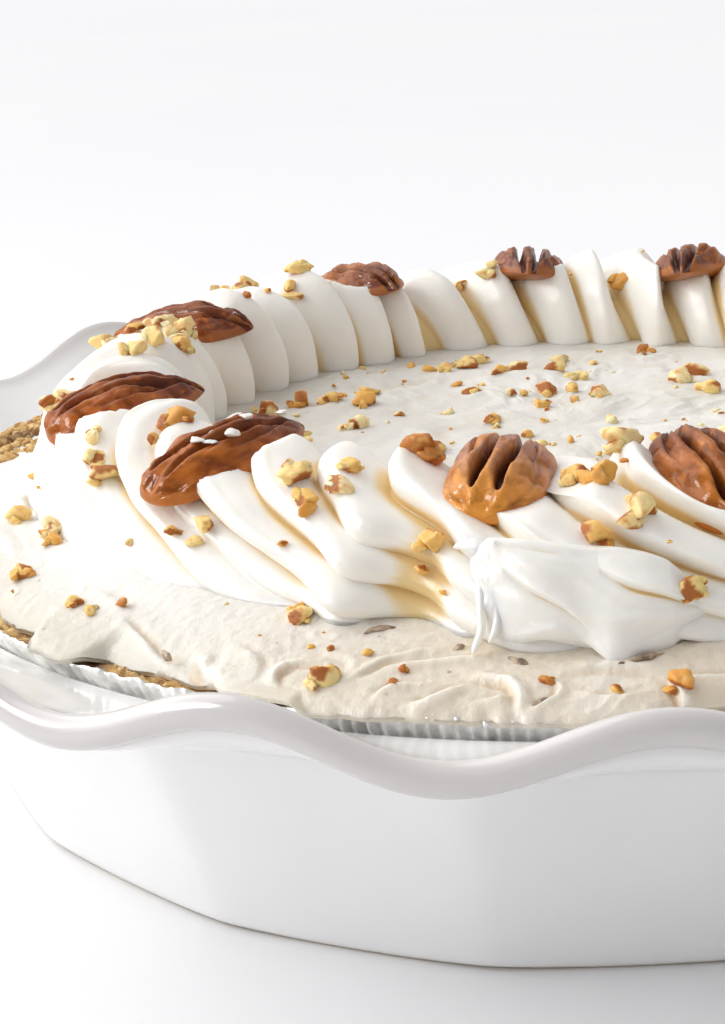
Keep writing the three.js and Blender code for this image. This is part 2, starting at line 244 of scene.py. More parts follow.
def noise(tree, place, scale, detail):
    return addNode(tree, "TexNoise", {"Vector": place, "Scale": scale, "Detail": detail}).outputs["Fac"]


def patchesGroup():  # soft patches: a noise, cut to run from 0 to 1 between two of its levels
    group, given, result = newGroup("softPatches", "Mask", Size=10.0, Low=0.4, High=0.6)
    cloud = noise(group, given["Vector"], calc(group, "DIVIDE", 1000.0, given["Size"]), 4.0)
    group.links.new(ranged(group, cloud, given["Low"], given["High"], soft=True), result["Mask"])
    return group


def grainGroup():  # fine relief: a noise of one size with a quarter-size one on it
    group, given, result = newGroup("fineGrain", "Height", Size=1.0, Fine=0.4)
    scale = calc(group, "DIVIDE", 1000.0, given["Size"])
    broad = noise(group, given["Vector"], scale, 3.0)
    fine = noise(group, given["Vector"], calc(group, "MULTIPLY", scale, 4.0), 2.0)
    group.links.new(calc(group, "MULTIPLY_ADD", fine, given["Fine"], broad), result["Height"])
    return group


softPatches, fineGrain = patchesGroup(), grainGroup()


def patches(tree, place, size, low, high):
    given = {"Vector": place, "Size": size, "Low": low, "High": high}
    return addNode(tree, "Group", given, node_tree=softPatches).outputs["Mask"]


def grain(tree, place, size, fine=0.4):
    given = {"Vector": place, "Size": size, "Fine": fine}
    return addNode(tree, "Group", given, node_tree=fineGrain).outputs["Height"]


# The dish.

dish = {"columns": 640, "waves": 16, "crestAngle": -85.3, "footStart": 40, "footInner": 89, "footOuter": 99.4,
        "footRecess": 1.2, "baseRadius": 101.6, "wallSlope": 0.39, "wallTop": 33, "facetDip": 3.0,
        "facetSoftness": 0.16, "lipRadius": 132.4, "lipHeight": 46.6, "lipWave": 3.2, "lipThickness": 4.6, "floor": 6.5,
        "innerRadius": 97.9, "innerHeight": 8, "innerShoulder": 34, "flareRadius": 112.1, "flareHeight": 37.9}


# A Bezier curve over arrays of points (radius, height): each round of mixing neighbours leaves one point fewer.
def curve(controls, steps):
    columns = max(np.size(part) for point in controls for part in point)
    controls = [np.stack([np.broadcast_to(part, columns) for part in point]) for point in controls]
    out = []
    for t in np.linspace(0, 1, steps + 1)[1:]:
        level = controls
        while len(level) > 1:
            level = [mix(a, b, t) for a, b in zip(level, level[1:])]
        out.append(level[0])
    return out


def chain(start, *curves):  # curves joined end to end, each as its steps and the points after its start
    rows = []
    for steps, *points in curves:
        rows += curve([start] + points, steps)
        start = points[-1]
    return rows


def through(stops, at):  # a smooth curve through stops (place, value, value...): cubic between each pair
    stops = np.array(stops, float)
    x, y = stops[:, 0], stops[:, 1:]
    slope = np.gradient(y, x, axis=0)
    k = np.clip(np.searchsorted(x, at) - 1, 0, len(x) - 2)
    wide = (x[k + 1] - x[k])[:, None]
    t = ((at - x[k]) / (x[k + 1] - x[k]))[:, None]
    return ((2 * t ** 3 - 3 * t ** 2 + 1) * y[k] + (t ** 3 - 2 * t ** 2 + t) * wide * slope[k]
            + (3 * t ** 2 - 2 * t ** 3) * y[k + 1] + (t ** 3 - t ** 2) * wide * slope[k + 1])


def trace(stops, count):  # a smooth curve through stops that follow one another at even steps
    return through(np.column_stack([np.arange(len(stops)), stops]), np.linspace(0, len(stops) - 1, count))


def around(azimuth, rows):  # points from rows of (radius, height), each one value or one for every azimuth
    profile = np.stack([[np.broadcast_to(part, len(azimuth)) for part in row] for row in rows])
    return polar(azimuth, profile[:, 0], profile[:, 1])


def innerWall(height):
    return dish["innerRadius"] + dish["wallSlope"] * (height - dish["innerHeight"])


# Section at each azimuth: foot, leaning wall that dips between 16 ridges, and a lip that waves up and down.
def buildDish():
    d = dish
    azimuth = d["crestAngle"] + np.arange(d["columns"]) * 360 / d["columns"]
    across = cosDeg(d["waves"] / 2 * (azimuth - d["crestAngle"]))
    s = d["facetSoftness"]
    dip = d["facetDip"] * (np.hypot(across, s) - s) / (np.hypot(1, s) - s)
    wallFoot, wallHead = d["baseRadius"] - 0.4 * dip, d["baseRadius"] + d["wallSlope"] * d["wallTop"] - dip
    lipTop = d["lipHeight"] + d["lipWave"] * cosDeg(d["waves"] * (azimuth - d["crestAngle"]))
    lipFoot, bend = lipTop - d["lipThickness"], mix(d["flareHeight"], lipTop, 0.45)
    half, edge, foot, recess = d["lipThickness"] / 2, d["lipRadius"], d["footInner"], d["footRecess"]
    start = (d["footStart"], recess)
    rows = chain(start, (2, (foot - 1, recess)), (4, (foot - 0.2, 0), (foot + 1, 0)), (2, (d["footOuter"], 0)),
                 (6, (wallFoot, 0), (wallFoot + 0.8, 2.4)), (14, (wallHead, d["wallTop"])),
                 (16, (wallHead + 0.7, d["wallTop"] + 1.8), (edge - 8, bend - d["lipThickness"]),
                  (edge - half, lipFoot)),
                 (12, (edge + half / 3, lipFoot), (edge + half / 3, lipTop), (edge - half, lipTop)),
                 (14, (edge - 8, bend), (d["flareRadius"], d["flareHeight"])),
                 (5, (d["flareRadius"] - 2.2, d["flareHeight"] - 0.4),
                  (innerWall(d["innerShoulder"]), d["innerShoulder"])),
                 (6, (innerWall(d["floor"]) - 1, d["floor"])))
    return skin(around(azimuth, [start] + rows))


def glazeMaterial():
    material, tree, shader, place = newMaterial("glaze", IOR=1.5)
    bare = ranged(tree, addNode(tree, "SeparateXYZ", {0: place}).outputs["Z"], 0.9 * mm, 0.3 * mm)
    # Painted shade: the rolled lip, outward of 126 mm, is painted a darker warm grey for the shade on its outer face.
    roll = ranged(tree, fromAxis(tree, place), 126 * mm, 131.5 * mm, soft=True)
    glaze = blendColour(tree, patches(tree, place, 22, 0.35, 0.7), (0.855, 0.85, 0.845), (0.875, 0.87, 0.865))
    glaze = blendColour(tree, roll, glaze, (0.645, 0.615, 0.6))
    paint(tree, shader, blendColour(tree, bare, glaze, (0.62, 0.55, 0.46)))
    tree.links.new(ranged(tree, bare, 0.0, 1.0, 0.8, 0.13), shader.inputs["Roughness"])
    setBump(tree, shader, grain(tree, place, 16, 0.05), 0.25, 0.5)
    return material


makePiece("ceramicDish", [buildDish()], glazeMaterial(), ["dish"])


# The foil tin.

tin = {"crimps": 372, "pointsPerCrimp": 6, "crimp": 0.32, "sheet": 0.3, "rimRadius": 111.0, "rimTop": 39.9,
       "ragged": 0.3, "gap": 0.35}


# Pleats: radius + crimp * sin(crimps * azimuth), deepest at the rim, whose edge is slightly ragged.
def buildTin():
    t = tin
    azimuth = np.arange(t["crimps"] * t["pointsPerCrimp"]) * 360 / (t["crimps"] * t["pointsPerCrimp"])
    ring = polar(azimuth, t["rimRadius"], 0)
    wave = sinDeg(t["crimps"] * azimuth + 110 * lumps(ring, 7, 4)) * (1 + 0.7 * lumps(ring, 3.1, 5))
    rag = t["ragged"] * (lumps(ring, 1.3, 8) + 0.5 * wave) + 0.25 * lumps(ring, 14, 2) - 0.15
    floor, foot, top = dish["floor"] + 0.3, dish["flareHeight"] + 0.5, t["rimTop"] + rag

    def pleat(radius, height, depth):
        return radius + t["crimp"] * depth * (wave - 1), height

    def wall(offset, height, depth):
        return pleat(innerWall(height) - offset, height, depth)

    def rim(inset, height):
        return pleat(t["rimRadius"] - inset, height, 1)

    sheet, outer, inner = t["sheet"], t["gap"], t["gap"] + t["sheet"]
    rows = [(innerWall(floor) - 2.2, floor), wall(outer + 0.3, floor + 2, 0), wall(outer, 26, 0.2),
            wall(outer, dish["innerShoulder"] + 0.2, 0.6), rim(0.4, foot), rim(0.15, mix(foot, top, 0.5)),
            rim(0.0, top - 0.1), rim(0.1, top), rim(sheet, top), rim(0.2 + sheet, mix(foot, top, 0.5)),
            rim(0.4 + sheet, foot + 0.2), wall(inner, dish["innerShoulder"] + 0.4, 0.6), wall(inner, 26, 0.2),
            wall(inner + 0.3, floor + 2.3, 0), (innerWall(floor) - 2.4, floor + sheet)]
    return skin(around(azimuth, rows))


def foilMaterial():
    material, tree, shader, place = newMaterial("foil", Metallic=1.0)
    sheen = patches(tree, place, 3, 0.35, 0.65)
    paint(tree, shader, blendColour(tree, sheen, (0.66, 0.655, 0.64), (0.9, 0.895, 0.885)))
    tree.links.new(ranged(tree, grain(tree, place, 4), 0.0, 1.0, 0.6, 0.35), shader.inputs["Roughness"])
    setBump(tree, shader, grain(tree, place, 1.2), 0.5, 0.12)
    return material


makePiece("foilTin", [buildTin()], foilMaterial(), ["foil_tin"])


# The crumb crust.

crust = {"columns": 960, "thickness": 6, "floor": 7.5, "gap": 1.15, "rimWidth": 5.6, "top": 38.7, "rimRadius": 109.3,
         "crumb": 0.55}


# A shallow cup whose rim is rough with crumbs: height + crumb * lumps of two sizes.
def buildCrust():
    c, outer, rim = crust, crust["gap"], crust["rimRadius"]
    azimuth = np.arange(c["columns"]) * 360 / c["columns"]
    inner = outer + c["thickness"]
    low, high = dish["innerShoulder"] + 0.2, c["top"] + 0.35 * sinDeg(11 * azimuth + 40)
    rows = chain((innerWall(dish["floor"]) - 2.6, c["floor"]), (3, (innerWall(low) - outer, low)),
                 (3, (rim - 0.2, high - 1)), (3, (rim - 0.1, high), (rim - 1.2, high)),
                 (14, (rim - c["rimWidth"], high)), (3, (innerWall(20) - inner, 20)),
                 (2, (innerWall(13.5) - inner, 13.5)))
    points = around(azimuth, rows)
    rough = lumps(points, 1.3, 11) + 0.8 * np.abs(lumps(points, 0.6, 12))
    loose = smooth(points[..., 2], 36, 38.5)
    points[..., 2] += c["crumb"] * (rough - 0.3) * loose
    inset = 1 - 0.35 / 109 * loose * np.clip(lumps(points, 0.9, 13), 0, 1)
    points[..., :2] *= inset[..., None]
    return skin(points)


def crustMaterial():
    material, tree, shader, place = newMaterial("crumbCrust", Roughness=0.85)
    crumbs = addNode(tree, "TexVoronoi", {"Vector": place, "Scale": 900.0})
    shade = addNode(tree, "SeparateColor", {0: crumbs.outputs["Color"]}).outputs[0]
    baked = ramp(tree, shade, (0.0, (0.34, 0.17, 0.05)), (0.45, (0.62, 0.36, 0.11)), (1.0, (0.86, 0.62, 0.28)))
    paint(tree, shader, blendColour(tree, patches(tree, place, 9, 0.5, 0.7), baked, (0.22, 0.1, 0.035)))
    setBump(tree, shader, grain(tree, place, 1.0, 0.6), 0.8, 0.5)
    return material


crumbCrust = crustMaterial()
makePiece("crumbCrust", [buildCrust()], crumbCrust, ["crust"])


# The piped ring's path, which the filling needs as well.

wreath = {"strands": 43, "columnsPerStrand": 26, "rows": 76, "firstStrand": -121, "outerTwist": 29,
          "outerPower": 1.75, "innerTwist": 6, "innerFoot": 67.5, "crestRadius": 73.5, "outerFoot": 86.5,
          "jointReach": 9, "jointAngle": -98, "jointFade": -62, "coreHeight": 9.6, "corePower": 0.8,
          "strandHeight": 8.0, "strandWidth": 0.57, "unevenness": 0.2, "innerWidth": 0.76, "peakAt": -0.16,
          "leftRound": 2.0, "rightFall": 2.0, "backRound": 0.3, "lean": 2.7, "skirt": 3.2, "sunk": 0.4}

filling = {"centreHeight": 47, "edgeDrop": 6, "edgeRadius": 110, "crownPower": 7, "overhang": 39.5, "relief": 0.7,
           "bandInside": 1.0, "heelInside": 4.2, "edge": 109.4, "heldBack": 3.6, "bareEdge": 107.4,
           "cover": (-115.5, -103.5, 2.5), "smears": [(-108.5, -84, 1.5), (-133.5, -126.8, 1.5)],
           "bares": [(-144, -132.8, 2), (-127.5, -114.6, 2)]}  # angles where each starts and ends, and how softly


def bed(radius):  # the crowned top that the filling was spread to
    f = filling
    return f["centreHeight"] - f["edgeDrop"] * (np.asarray(radius, float) / f["edgeRadius"]) ** f["crownPower"]


def wreathReach(azimuth):  # the ring's outer foot, which spreads beside the joint of the piping
    w, turn = wreath, halfTurn(azimuth)
    rise = smooth(turn, w["jointAngle"] - 4, w["jointAngle"] + 5)
    fall = 1 - smooth(turn, w["jointFade"] - 14, w["jointFade"] + 14)
    tips = 4.5 * np.exp(-((turn + 109) / 3.2) ** 2) + 2.5 * np.exp(-((turn + 99) / 2.2) ** 2)
    return w["outerFoot"] + w["jointReach"] * rise * fall + tips


def strandAngle(strand):
    w = wreath
    index = np.mod(strand, w["strands"])
    jitter = np.where(index > 5, 3.2 * (draw(index + 1) - 0.5), 0)
    return w["firstStrand"] + 360 / w["strands"] * strand + jitter


def twist(u):  # how far a strand has turned from the crest: soon and far on the way down outside
    w, t = wreath, 2 * np.asarray(u, float) - 1
    return np.where(t > 0, w["outerTwist"] * np.abs(t) ** w["outerPower"], -w["innerTwist"] * np.abs(t) ** 1.2)


def uneven(strand, seed):
    index = np.mod(strand, wreath["strands"])
    return 1 + np.where(index > 8, 1.15, 1) * wreath["unevenness"] * (2 * draw(index * 3 + seed) - 1)


def halfWidth(strand):
    return 360 / wreath["strands"] * wreath["strandWidth"] * uneven(strand, 11)


# Each strand swells from a steep left edge to a peak and falls away to the right; the higher neighbour wins.
# On the inner side the strands are narrower and evenly round, with gaps between them.
def strandLift(crestAngle, u):
    w, turn = wreath, halfTurn(crestAngle)
    later = w["backRound"] * smooth(turn, 0, 50) * (1 - smooth(turn, 130, 175))  # behind, round further out
    inner = 1 - smooth(np.asarray(u, float) - later, 0.2, 0.64)
    peak, width = mix(w["peakAt"], 0, inner), mix(1, w["innerWidth"], inner)
    nearest = np.round((crestAngle - w["firstStrand"]) / (360 / w["strands"]))
    lift = np.zeros_like(crestAngle)
    for step in range(-2, 3):
        strand = nearest + step
        across = (crestAngle - strandAngle(strand)) / halfWidth(strand) / width
        left = np.clip((peak - across) / (1 + peak), 0, 1)
        right = np.clip((across - peak) / (1 - peak), 0, 1)
        swell = (1 - left ** w["leftRound"]) ** (1 / w["leftRound"]) * (1 - right ** w["rightFall"])
        rib = np.clip(1 - across ** 2, 0, 1) ** 0.62
        lift = np.maximum(lift, uneven(strand, 29) * mix(swell, rib, inner))
    return lift


# A point of the ring, from its azimuth on the crest and u, which runs from the inner foot (0) to the outer (1).
def ringPoint(crestAngle, u):
    w = wreath
    lift = strandLift(crestAngle, u)
    across, up = -np.cos(np.pi * u), np.sin(np.pi * u)
    azimuth = crestAngle + twist(u) - w["lean"] * lift ** 2 * up ** 0.6
    foot = np.where(across < 0, w["innerFoot"], wreathReach(azimuth))
    height = w["strandHeight"] * lift * mix(np.where(across < 0, 0.7, 0.35), 1, up ** 0.8)
    radius = w["crestRadius"] + across * (np.abs(foot - w["crestRadius"]) + height * np.where(across > 0, 0.75, 0.8))
    rise = w["coreHeight"] * up ** w["corePower"] + height * up
    turn = halfTurn(azimuth)
    soft = mix(0.25, 1, np.maximum(1 - smooth(turn, -122, -106), smooth(turn, -30, 40)))
    radius = radius + w["skirt"] * soft * smooth(u, 0.86, 1)
    rise = rise * (1 - 0.75 * soft * smooth(u, 0.9, 1) * (1 - smooth(u, 0.985, 1)))
    return polar(azimuth, radius, bed(radius) - w["sunk"] + rise), lift


# Where the pecan halves lie.

pecan = {"angles": [-97.0, -130.7, -158.9, 158.8, 122.9, 95.4, 69.9, 41, 12, -17, -46, -75.8], "length": 28,
         "width": 15, "height": 5.2, "ringRadius": 75.5, "bedHeight": 59.2, "tilt": 11, "sink": 1.4, "bank": 9,
         "hold": 0.95, "dish": 3.5, "frontLow": 0.35, "soft": 0.5}


def turnMatrix(axis, degrees):
    c, s = cosDeg(degrees), sinDeg(degrees)
    return {"X": np.array([[1, 0, 0], [0, c, -s], [0, s, c]]), "Y": np.array([[c, 0, s], [0, 1, 0], [-s, 0, c]]),
            "Z": np.array([[c, -s, 0], [s, c, 0], [0, 0, 1]])}[axis]


def pecanPlace(index):  # its turn as a matrix, and its middle; the front one lies flatter and further in
    p, angle, front = pecan, pecan["angles"][index], index == 0
    heading = turnMatrix("Z", angle + 14 * (draw(index + 7) - 0.5))
    pitch = turnMatrix("Y", p["tilt"] - 7 * front + 6 * (draw(index + 31) - 0.5))
    roll = turnMatrix("X", 16 * (draw(index + 57) - 0.5))
    return heading @ pitch @ roll, polar(angle, p["ringRadius"] - 1.3 * front, p["bedHeight"] + 0.5 * front)


pecanPlaces = [pecanPlace(index) for index in range(len(pecan["angles"]))]


# Cream gives way under each half: its height there is held, softly, below a limit that climbs away from it.
def pressed(points):
    p = pecan
    for index, (turn, middle) in enumerate(pecanPlaces):
        local = (points - middle) @ turn
        spread = np.hypot(local[..., 0] / (p["length"] / 2), local[..., 1] / (p["width"] / 2))
        low = p["frontLow"] if index == 0 else 1  # the cream lies lower round the one in front
        limit = low * p["sink"] + low * p["bank"] * np.clip(spread - p["hold"], 0, None)
        limit = limit - p["dish"] * np.clip(p["hold"] - spread, 0, 0.6)
        over = local[..., 2] - limit
        eased = limit - p["soft"] * np.log1p(np.exp(-np.clip(over, -30, 30) / p["soft"]))
        held = mix(local[..., 2], np.minimum(local[..., 2], eased + 0.35), 1 - smooth(spread, 1.7, 2.2))
        local[..., 2] = np.where(spread < 2.2, held, local[..., 2])
        points = local @ turn.T + middle
    return points


# The filling.

spreading = {"bandColumns": 1180, "bandRows": 71, "discColumns": 480, "discRows": 66, "frontFrom": -150,
             "frontTo": -50, "frontShare": 0.62, "stroke": 0.35, "pit": 0.08, "bandStrokes": 74, "discStrokes": 26}

# Strokes of the spatula on the band: azimuth and radius along each crest, its height, its width, and its steep side.
strokes = [([(-109.6, 109.6), (-110.6, 107.8), (-110.9, 106.2), (-110.6, 105), (-109.6, 103.5), (-107.8, 103)],
            0.83, 0.43, -1),
           ([(-100.6, 110), (-99.4, 109.4), (-98.3, 107.7), (-97.2, 105.6)], 0.9, 0.5, 1),
           ([(-97.2, 103.4), (-95.3, 104.4), (-94.1, 105.2), (-93.5, 107.4), (-93.3, 109.9)], 0.98, 0.5, -1),
           ([(-95.9, 108.6), (-94.8, 108.2), (-93.8, 107)], 0.52, 0.37, 1),
           ([(-83.4, 105.2), (-82.8, 108.1), (-82.7, 109.8)], 0.9, 0.5, -1),
           ([(-83.6, 104.6), (-81.5, 105.6), (-79, 105.8), (-76, 104.6)], 0.68, 0.43, 1),
           ([(-104.6, 100.2), (-103, 99.4), (-101.4, 98), (-99.4, 96.6)], 0.6, 0.43, 1),
           ([(-103.9, 103.4), (-101.2, 101.2), (-97.7, 99.7), (-95.5, 99.9)], 0.68, 0.5, 1),
           ([(-105.3, 105.6), (-104.6, 103.2), (-103.4, 100.4), (-101.8, 99)], 0.6, 0.43, -1),
           ([(-103, 109.4), (-102.4, 107.4), (-101.1, 106.2), (-99.4, 105.6)], 0.68, 0.43, 1),
           ([(-92.6, 109.8), (-91.6, 108.8), (-90.8, 106.8), (-91, 104.6)], 0.68, 0.37, 1),
           ([(-91.5, 103.2), (-88.6, 102.2), (-85.6, 102.8), (-83.2, 104.6)], 0.52, 0.56, -1),
           ([(-90, 106.6), (-87.4, 108), (-85, 107.4)], 0.45, 0.43, 1),
           ([(-127.6, 101.6), (-124.2, 104), (-120.8, 106.2), (-118.9, 106.2)], 0.68, 0.5, 1),
           ([(-118.2, 104.8), (-116.6, 106.6), (-114.9, 108.4)], 1.05, 0.56, -1),
           ([(-116.3, 101.8), (-113.2, 104), (-112.2, 107.2)], 0.38, 0.56, 1),
           ([(-133.5, 98.6), (-129.6, 99.4), (-126.4, 101.2)], 0.38, 0.74, 1),
           ([(-108.2, 100.2), (-106, 101.6), (-105.6, 104.6)], 0.38, 0.56, -1)]


def moreStrokes():  # short strokes over the rest of the band, and broader ones inside the ring
    found, bandStrokes = [], spreading["bandStrokes"]
    for n in range(bandStrokes):
        middle, reach = -52 + 262 * (n + draw(n + 3)) / bandStrokes, 93 + 14 * draw(n + 81)
        length, slant = 5 + 9 * draw(n + 131), 7 * (draw(n + 171) - 0.5)
        bow = 5 * (draw(n + 211) - 0.5)
        stops = [(middle - length / 2, reach - slant), (middle, min(reach + bow, 108.5)),
                 (middle + length / 2, reach + slant)]
        found.append((stops, 0.3 + 0.5 * draw(n + 251), 0.4 + 0.5 * draw(n + 291), 1 if draw(n + 331) > 0.5 else -1))
    for n in range(spreading["discStrokes"]):
        middle, reach = 360 * draw(n + 402), 10 + 46 * draw(n + 443) ** 0.6
        length = (7 + 12 * draw(n + 481)) / reach * 57.3
        stops = [(middle - length / 2, reach), (middle, reach + 3 * (draw(n + 521) - 0.5)),
                 (middle + length / 2, reach + 4 * (draw(n + 561) - 0.5))]
        found.append((stops, 0.3 + 0.4 * draw(n + 601), 0.8 + 1.0 * draw(n + 641), 1 if draw(n + 681) > 0.5 else -1))
    return found


# Each stroke leaves a crest, exp(-(d / width)^2), steep on one side, with a shallow trough in front of it.
def strokeRelief(flat):
    x, y = flat[..., 0], flat[..., 1]
    crests, troughs = np.zeros(x.shape), np.zeros(x.shape)
    for stops, tall, width, side in strokes + moreStrokes():
        count = 6 * (len(stops) - 1) + 1
        path = trace(stops, count)
        path = polar(path[:, 0], path[:, 1], 0)[:, :2]
        low, high = path.min(0) - 5 * width, path.max(0) + 5 * width
        near = (x > low[0]) & (x < high[0]) & (y > low[1]) & (y < high[1])
        if not near.any():
            continue
        px, py = x[near], y[near]
        best, signed, along = np.full(px.shape, 99.0), np.zeros(px.shape), np.zeros(px.shape)
        for k, (a, b) in enumerate(zip(path, path[1:])):
            dx, dy = b - a
            t = np.clip(((px - a[0]) * dx + (py - a[1]) * dy) / (dx * dx + dy * dy), 0, 1)
            ox, oy = px - a[0] - t * dx, py - a[1] - t * dy
            far = np.hypot(ox, oy)
            closer = far < best
            best = np.where(closer, far, best)
            signed = np.where(closer, side * np.sign(dx * oy - dy * ox), signed)
            along = np.where(closer, (k + t) / (count - 1), along)
        tall = tall * np.sin(np.pi * np.clip(along, 0.02, 0.98)) ** 0.6
        steep = np.where(signed > 0, width, 2.4 * width)
        crest = tall * np.exp(-(best / steep) ** 2)
        trough = tall * np.exp(-((best - 2 * width) / (1.2 * width)) ** 2) * (signed > 0)
        crests[near] = np.maximum(crests[near], crest)
        troughs[near] = np.maximum(troughs[near], trough)
    return crests, troughs


def window(turn, start, end, soft):  # 1 between two angles, with soft ends
    return smooth(turn, start, start + soft) * (1 - smooth(turn, end - soft, end))


# Held back where the crust shows, drawn out over the tin, or smeared over its edge: the radius, and masks.
def fillingEdge(azimuth):
    f, turn = filling, halfTurn(azimuth)
    waver = sinDeg(3 * azimuth + 200) + 0.7 * sinDeg(7 * azimuth + 35)
    cover = window(turn, *f["cover"])
    smear, bare = (np.maximum(*(window(turn, *part) for part in f[name])) for name in ("smears", "bares"))
    edge = mix(f["edge"] - f["heldBack"] * smooth(waver, 0.7, 1.5), f["edge"], np.maximum(cover, smear))
    drawn = np.maximum(2.6 * cover, 1.9 * smear)
    return mix(edge, np.minimum(edge, f["bareEdge"]), bare) + drawn, cover, smear, bare


# The finished top: the crowned bed, two slow swirls, thin streaks that run round, the strokes, and fine pits.
def fillingTop(azimuth, radius):
    s, turn, flat = spreading, halfTurn(azimuth), polar(azimuth, radius, 0)
    swirl = sinDeg(5 * azimuth + np.degrees(radius / 7)) + 0.6 * sinDeg(9 * azimuth + 70 - np.degrees(radius / 4))
    height = filling["relief"] / 1.6 * swirl * smooth(radius, 2, 14)
    along = polar(azimuth + 5 * lumps(flat, 18, 22), 100 / 16, radius / 2.6 + 1.4 * lumps(flat, 9, 23))
    streak = 1 - np.abs(lumps(along, 1.0, 24))
    height = height + smooth(radius, 8, 22) * s["stroke"] * (streak ** 3 - 0.4) * mix(1, 0.6, smooth(radius, 80, 90))
    broken = 1 - np.abs(lumps(flat + 1.5 * lumps(flat, 3.5, 25)[..., None], 3.2, 26))
    rough, calm = 0.55 - 0.4 * window(turn, -170, -66, 20), 1 - 0.55 * window(turn, -170, -114, 10)
    height = height + rough * smooth(lumps(flat, 12, 27), -0.1, 0.6) * (broken ** 4 - 0.3)
    crests, troughs = strokeRelief(flat)
    pits = s["pit"] * lumps(flat, 1.1, 28) + 0.5 * s["pit"] * lumps(flat, 0.55, 29)
    height = height * calm + crests - 0.45 * troughs + pits
    foot, heel = wreathReach(azimuth) + filling["bandInside"], wreath["innerFoot"] - filling["heelInside"]
    free = smooth(radius, foot - 1, foot + 2.5) + 1 - smooth(radius, heel - 3, heel)
    return bed(radius) + free * height, crests, troughs


# A part of the filling: plain rows below, then rows of the finished top.
def toppedSkin(azimuth, rows, radius, height, crests, troughs, poles=True):
    plain = np.zeros((len(rows), len(azimuth)))
    return skin(around(azimuth, rows + list(zip(radius, height))), poles, crest=np.concatenate([plain, crests]),
                trough=np.concatenate([plain, troughs]))


def buildFillingBand():
    f, s = filling, spreading
    share = np.linspace(0, 1, s["bandColumns"], endpoint=False)
    azimuth = np.interp(share, [0, s["frontShare"], 1], [s["frontFrom"], s["frontTo"], s["frontFrom"] + 360])
    edge, cover, smear, bare = fillingEdge(azimuth)
    ring = polar(azimuth, 109, 0)
    edge = edge + 0.5 * lumps(ring, 5, 31) + 0.35 * lumps(ring, 1.7, 32) * (1 - 0.7 * cover)
    overhang = f["overhang"] + 1.1 * cover * (1 - smear) - 0.35 * smear - 0.9 * bare
    foot, ledge = wreathReach(azimuth) + f["bandInside"], crust["rimRadius"] - crust["rimWidth"]
    rows = chain((foot - 6, bed(foot) - 1.2), (3, (foot - 6, 40), (ledge - 0.5, crust["top"] + 0.3)),
                 (4, (ledge + 0.6, overhang), (edge - 0.8, overhang)),
                 (3, (edge + 0.1, overhang), (edge, overhang + 0.9)))
    radius = mix(edge, foot - 5, np.linspace(0, 1, s["bandRows"])[:, None] ** 1.15)
    top, crests, troughs = fillingTop(azimuth, radius)
    droop = (1.3 + 1.1 * bare) * np.exp(-(edge - radius) / (0.7 + 1.1 * bare))
    height = np.maximum(top - droop, overhang + 0.95 - 0.3 * smear - 0.25 * bare)
    return toppedSkin(azimuth, rows, radius, height, crests, troughs, poles=False)


def buildFillingDisc():  # the part inside the ring, and the body of the filling under it
    s = spreading
    azimuth = np.arange(s["discColumns"]) * 360 / s["discColumns"]
    foot, heel = wreathReach(azimuth) - 1, wreath["innerFoot"] - filling["heelInside"]
    inside = crust["gap"] + crust["thickness"] + 0.5
    rows = chain((innerWall(14) - inside, 14.1), (3, (innerWall(33) - inside, 33)), (2, (foot, 40)))
    inward = heel * (1 - np.linspace(0, 0.985, s["discRows"] + 1)[1:, None])
    radius = np.concatenate([mix(foot, heel, np.linspace(0, 1, 7)[:, None]), inward + 0 * foot])
    top, crests, troughs = fillingTop(azimuth, radius)
    top[0] -= 1.0
    return toppedSkin(azimuth, rows, radius, top, crests, troughs)


def fillingMaterial():
    material, tree, shader, place = newMaterial("nutCream", Roughness=0.5, Subsurface_Weight=0.25,
                                                Subsurface_Scale=3 * mm, Subsurface_Radius=(1.0, 0.7, 0.45))
    spot = addNode(tree, "SeparateXYZ", {0: place}).outputs
    # Painted shade: towards the front right, where the ring and the joint lobe shade the filling, it is painted a
    # darker, warmer tan.
    frontRightShade = calc(tree, "MULTIPLY", ranged(tree, spot["X"], -0.07, 0.0), ranged(tree, spot["Y"], -0.07, -0.09))
    cloud = patches(tree, place, 18, 0.36, 0.64)
    pale = blendColour(tree, cloud, (0.71, 0.68, 0.61), (0.79, 0.77, 0.72))
    leftward = ramp(tree, ranged(tree, fromAxis(tree, place), 0.0, 110 * mm), (0.6, (0.66, 0.62, 0.555)),
                    (0.8, (0.82, 0.805, 0.77)), (0.88, (0.8, 0.785, 0.745)), (0.97, (0.63, 0.59, 0.5)))
    pale = blendColour(tree, ranged(tree, spot["X"], -0.01, -0.06), pale, leftward)
    warmShade = blendColour(tree, cloud, (0.72, 0.63, 0.50), (0.80, 0.74, 0.645))
    base = blendColour(tree, frontRightShade, pale, warmShade)
    # Painted shade in the trough before each spatula crest, and a painted highlight along the crests.
    base = blendColour(tree, ranged(tree, tone(tree, "trough"), 0.15, 0.9, 0.8), base, (0.66, 0.50, 0.32))
    base = blendColour(tree, ranged(tree, tone(tree, "crest"), 0.35, 1.1, 0.9), base, (0.92, 0.89, 0.83))
    freckles = addNode(tree, "TexVoronoi", {"Vector": place, "Scale": 520.0}).outputs
    sizes = addNode(tree, "SeparateColor", {0: freckles["Color"]}).outputs[0]
    near = calc(tree, "SUBTRACT", ranged(tree, sizes, 0.9, 1.0, 0.2), freckles["Distance"])
    paint(tree, shader, blendColour(tree, ranged(tree, near, -0.04, 0.08, 0.7), base, (0.28, 0.19, 0.13)))
    setBump(tree, shader, grain(tree, place, 1.6, 0.35), 0.5, 0.3)
    return material


nutCream = fillingMaterial()
makePiece("fillingBand", [buildFillingBand()], nutCream, ["filling"])
makePiece("fillingDisc", [buildFillingDisc()], nutCream, ["filling"])


# The piped ring.

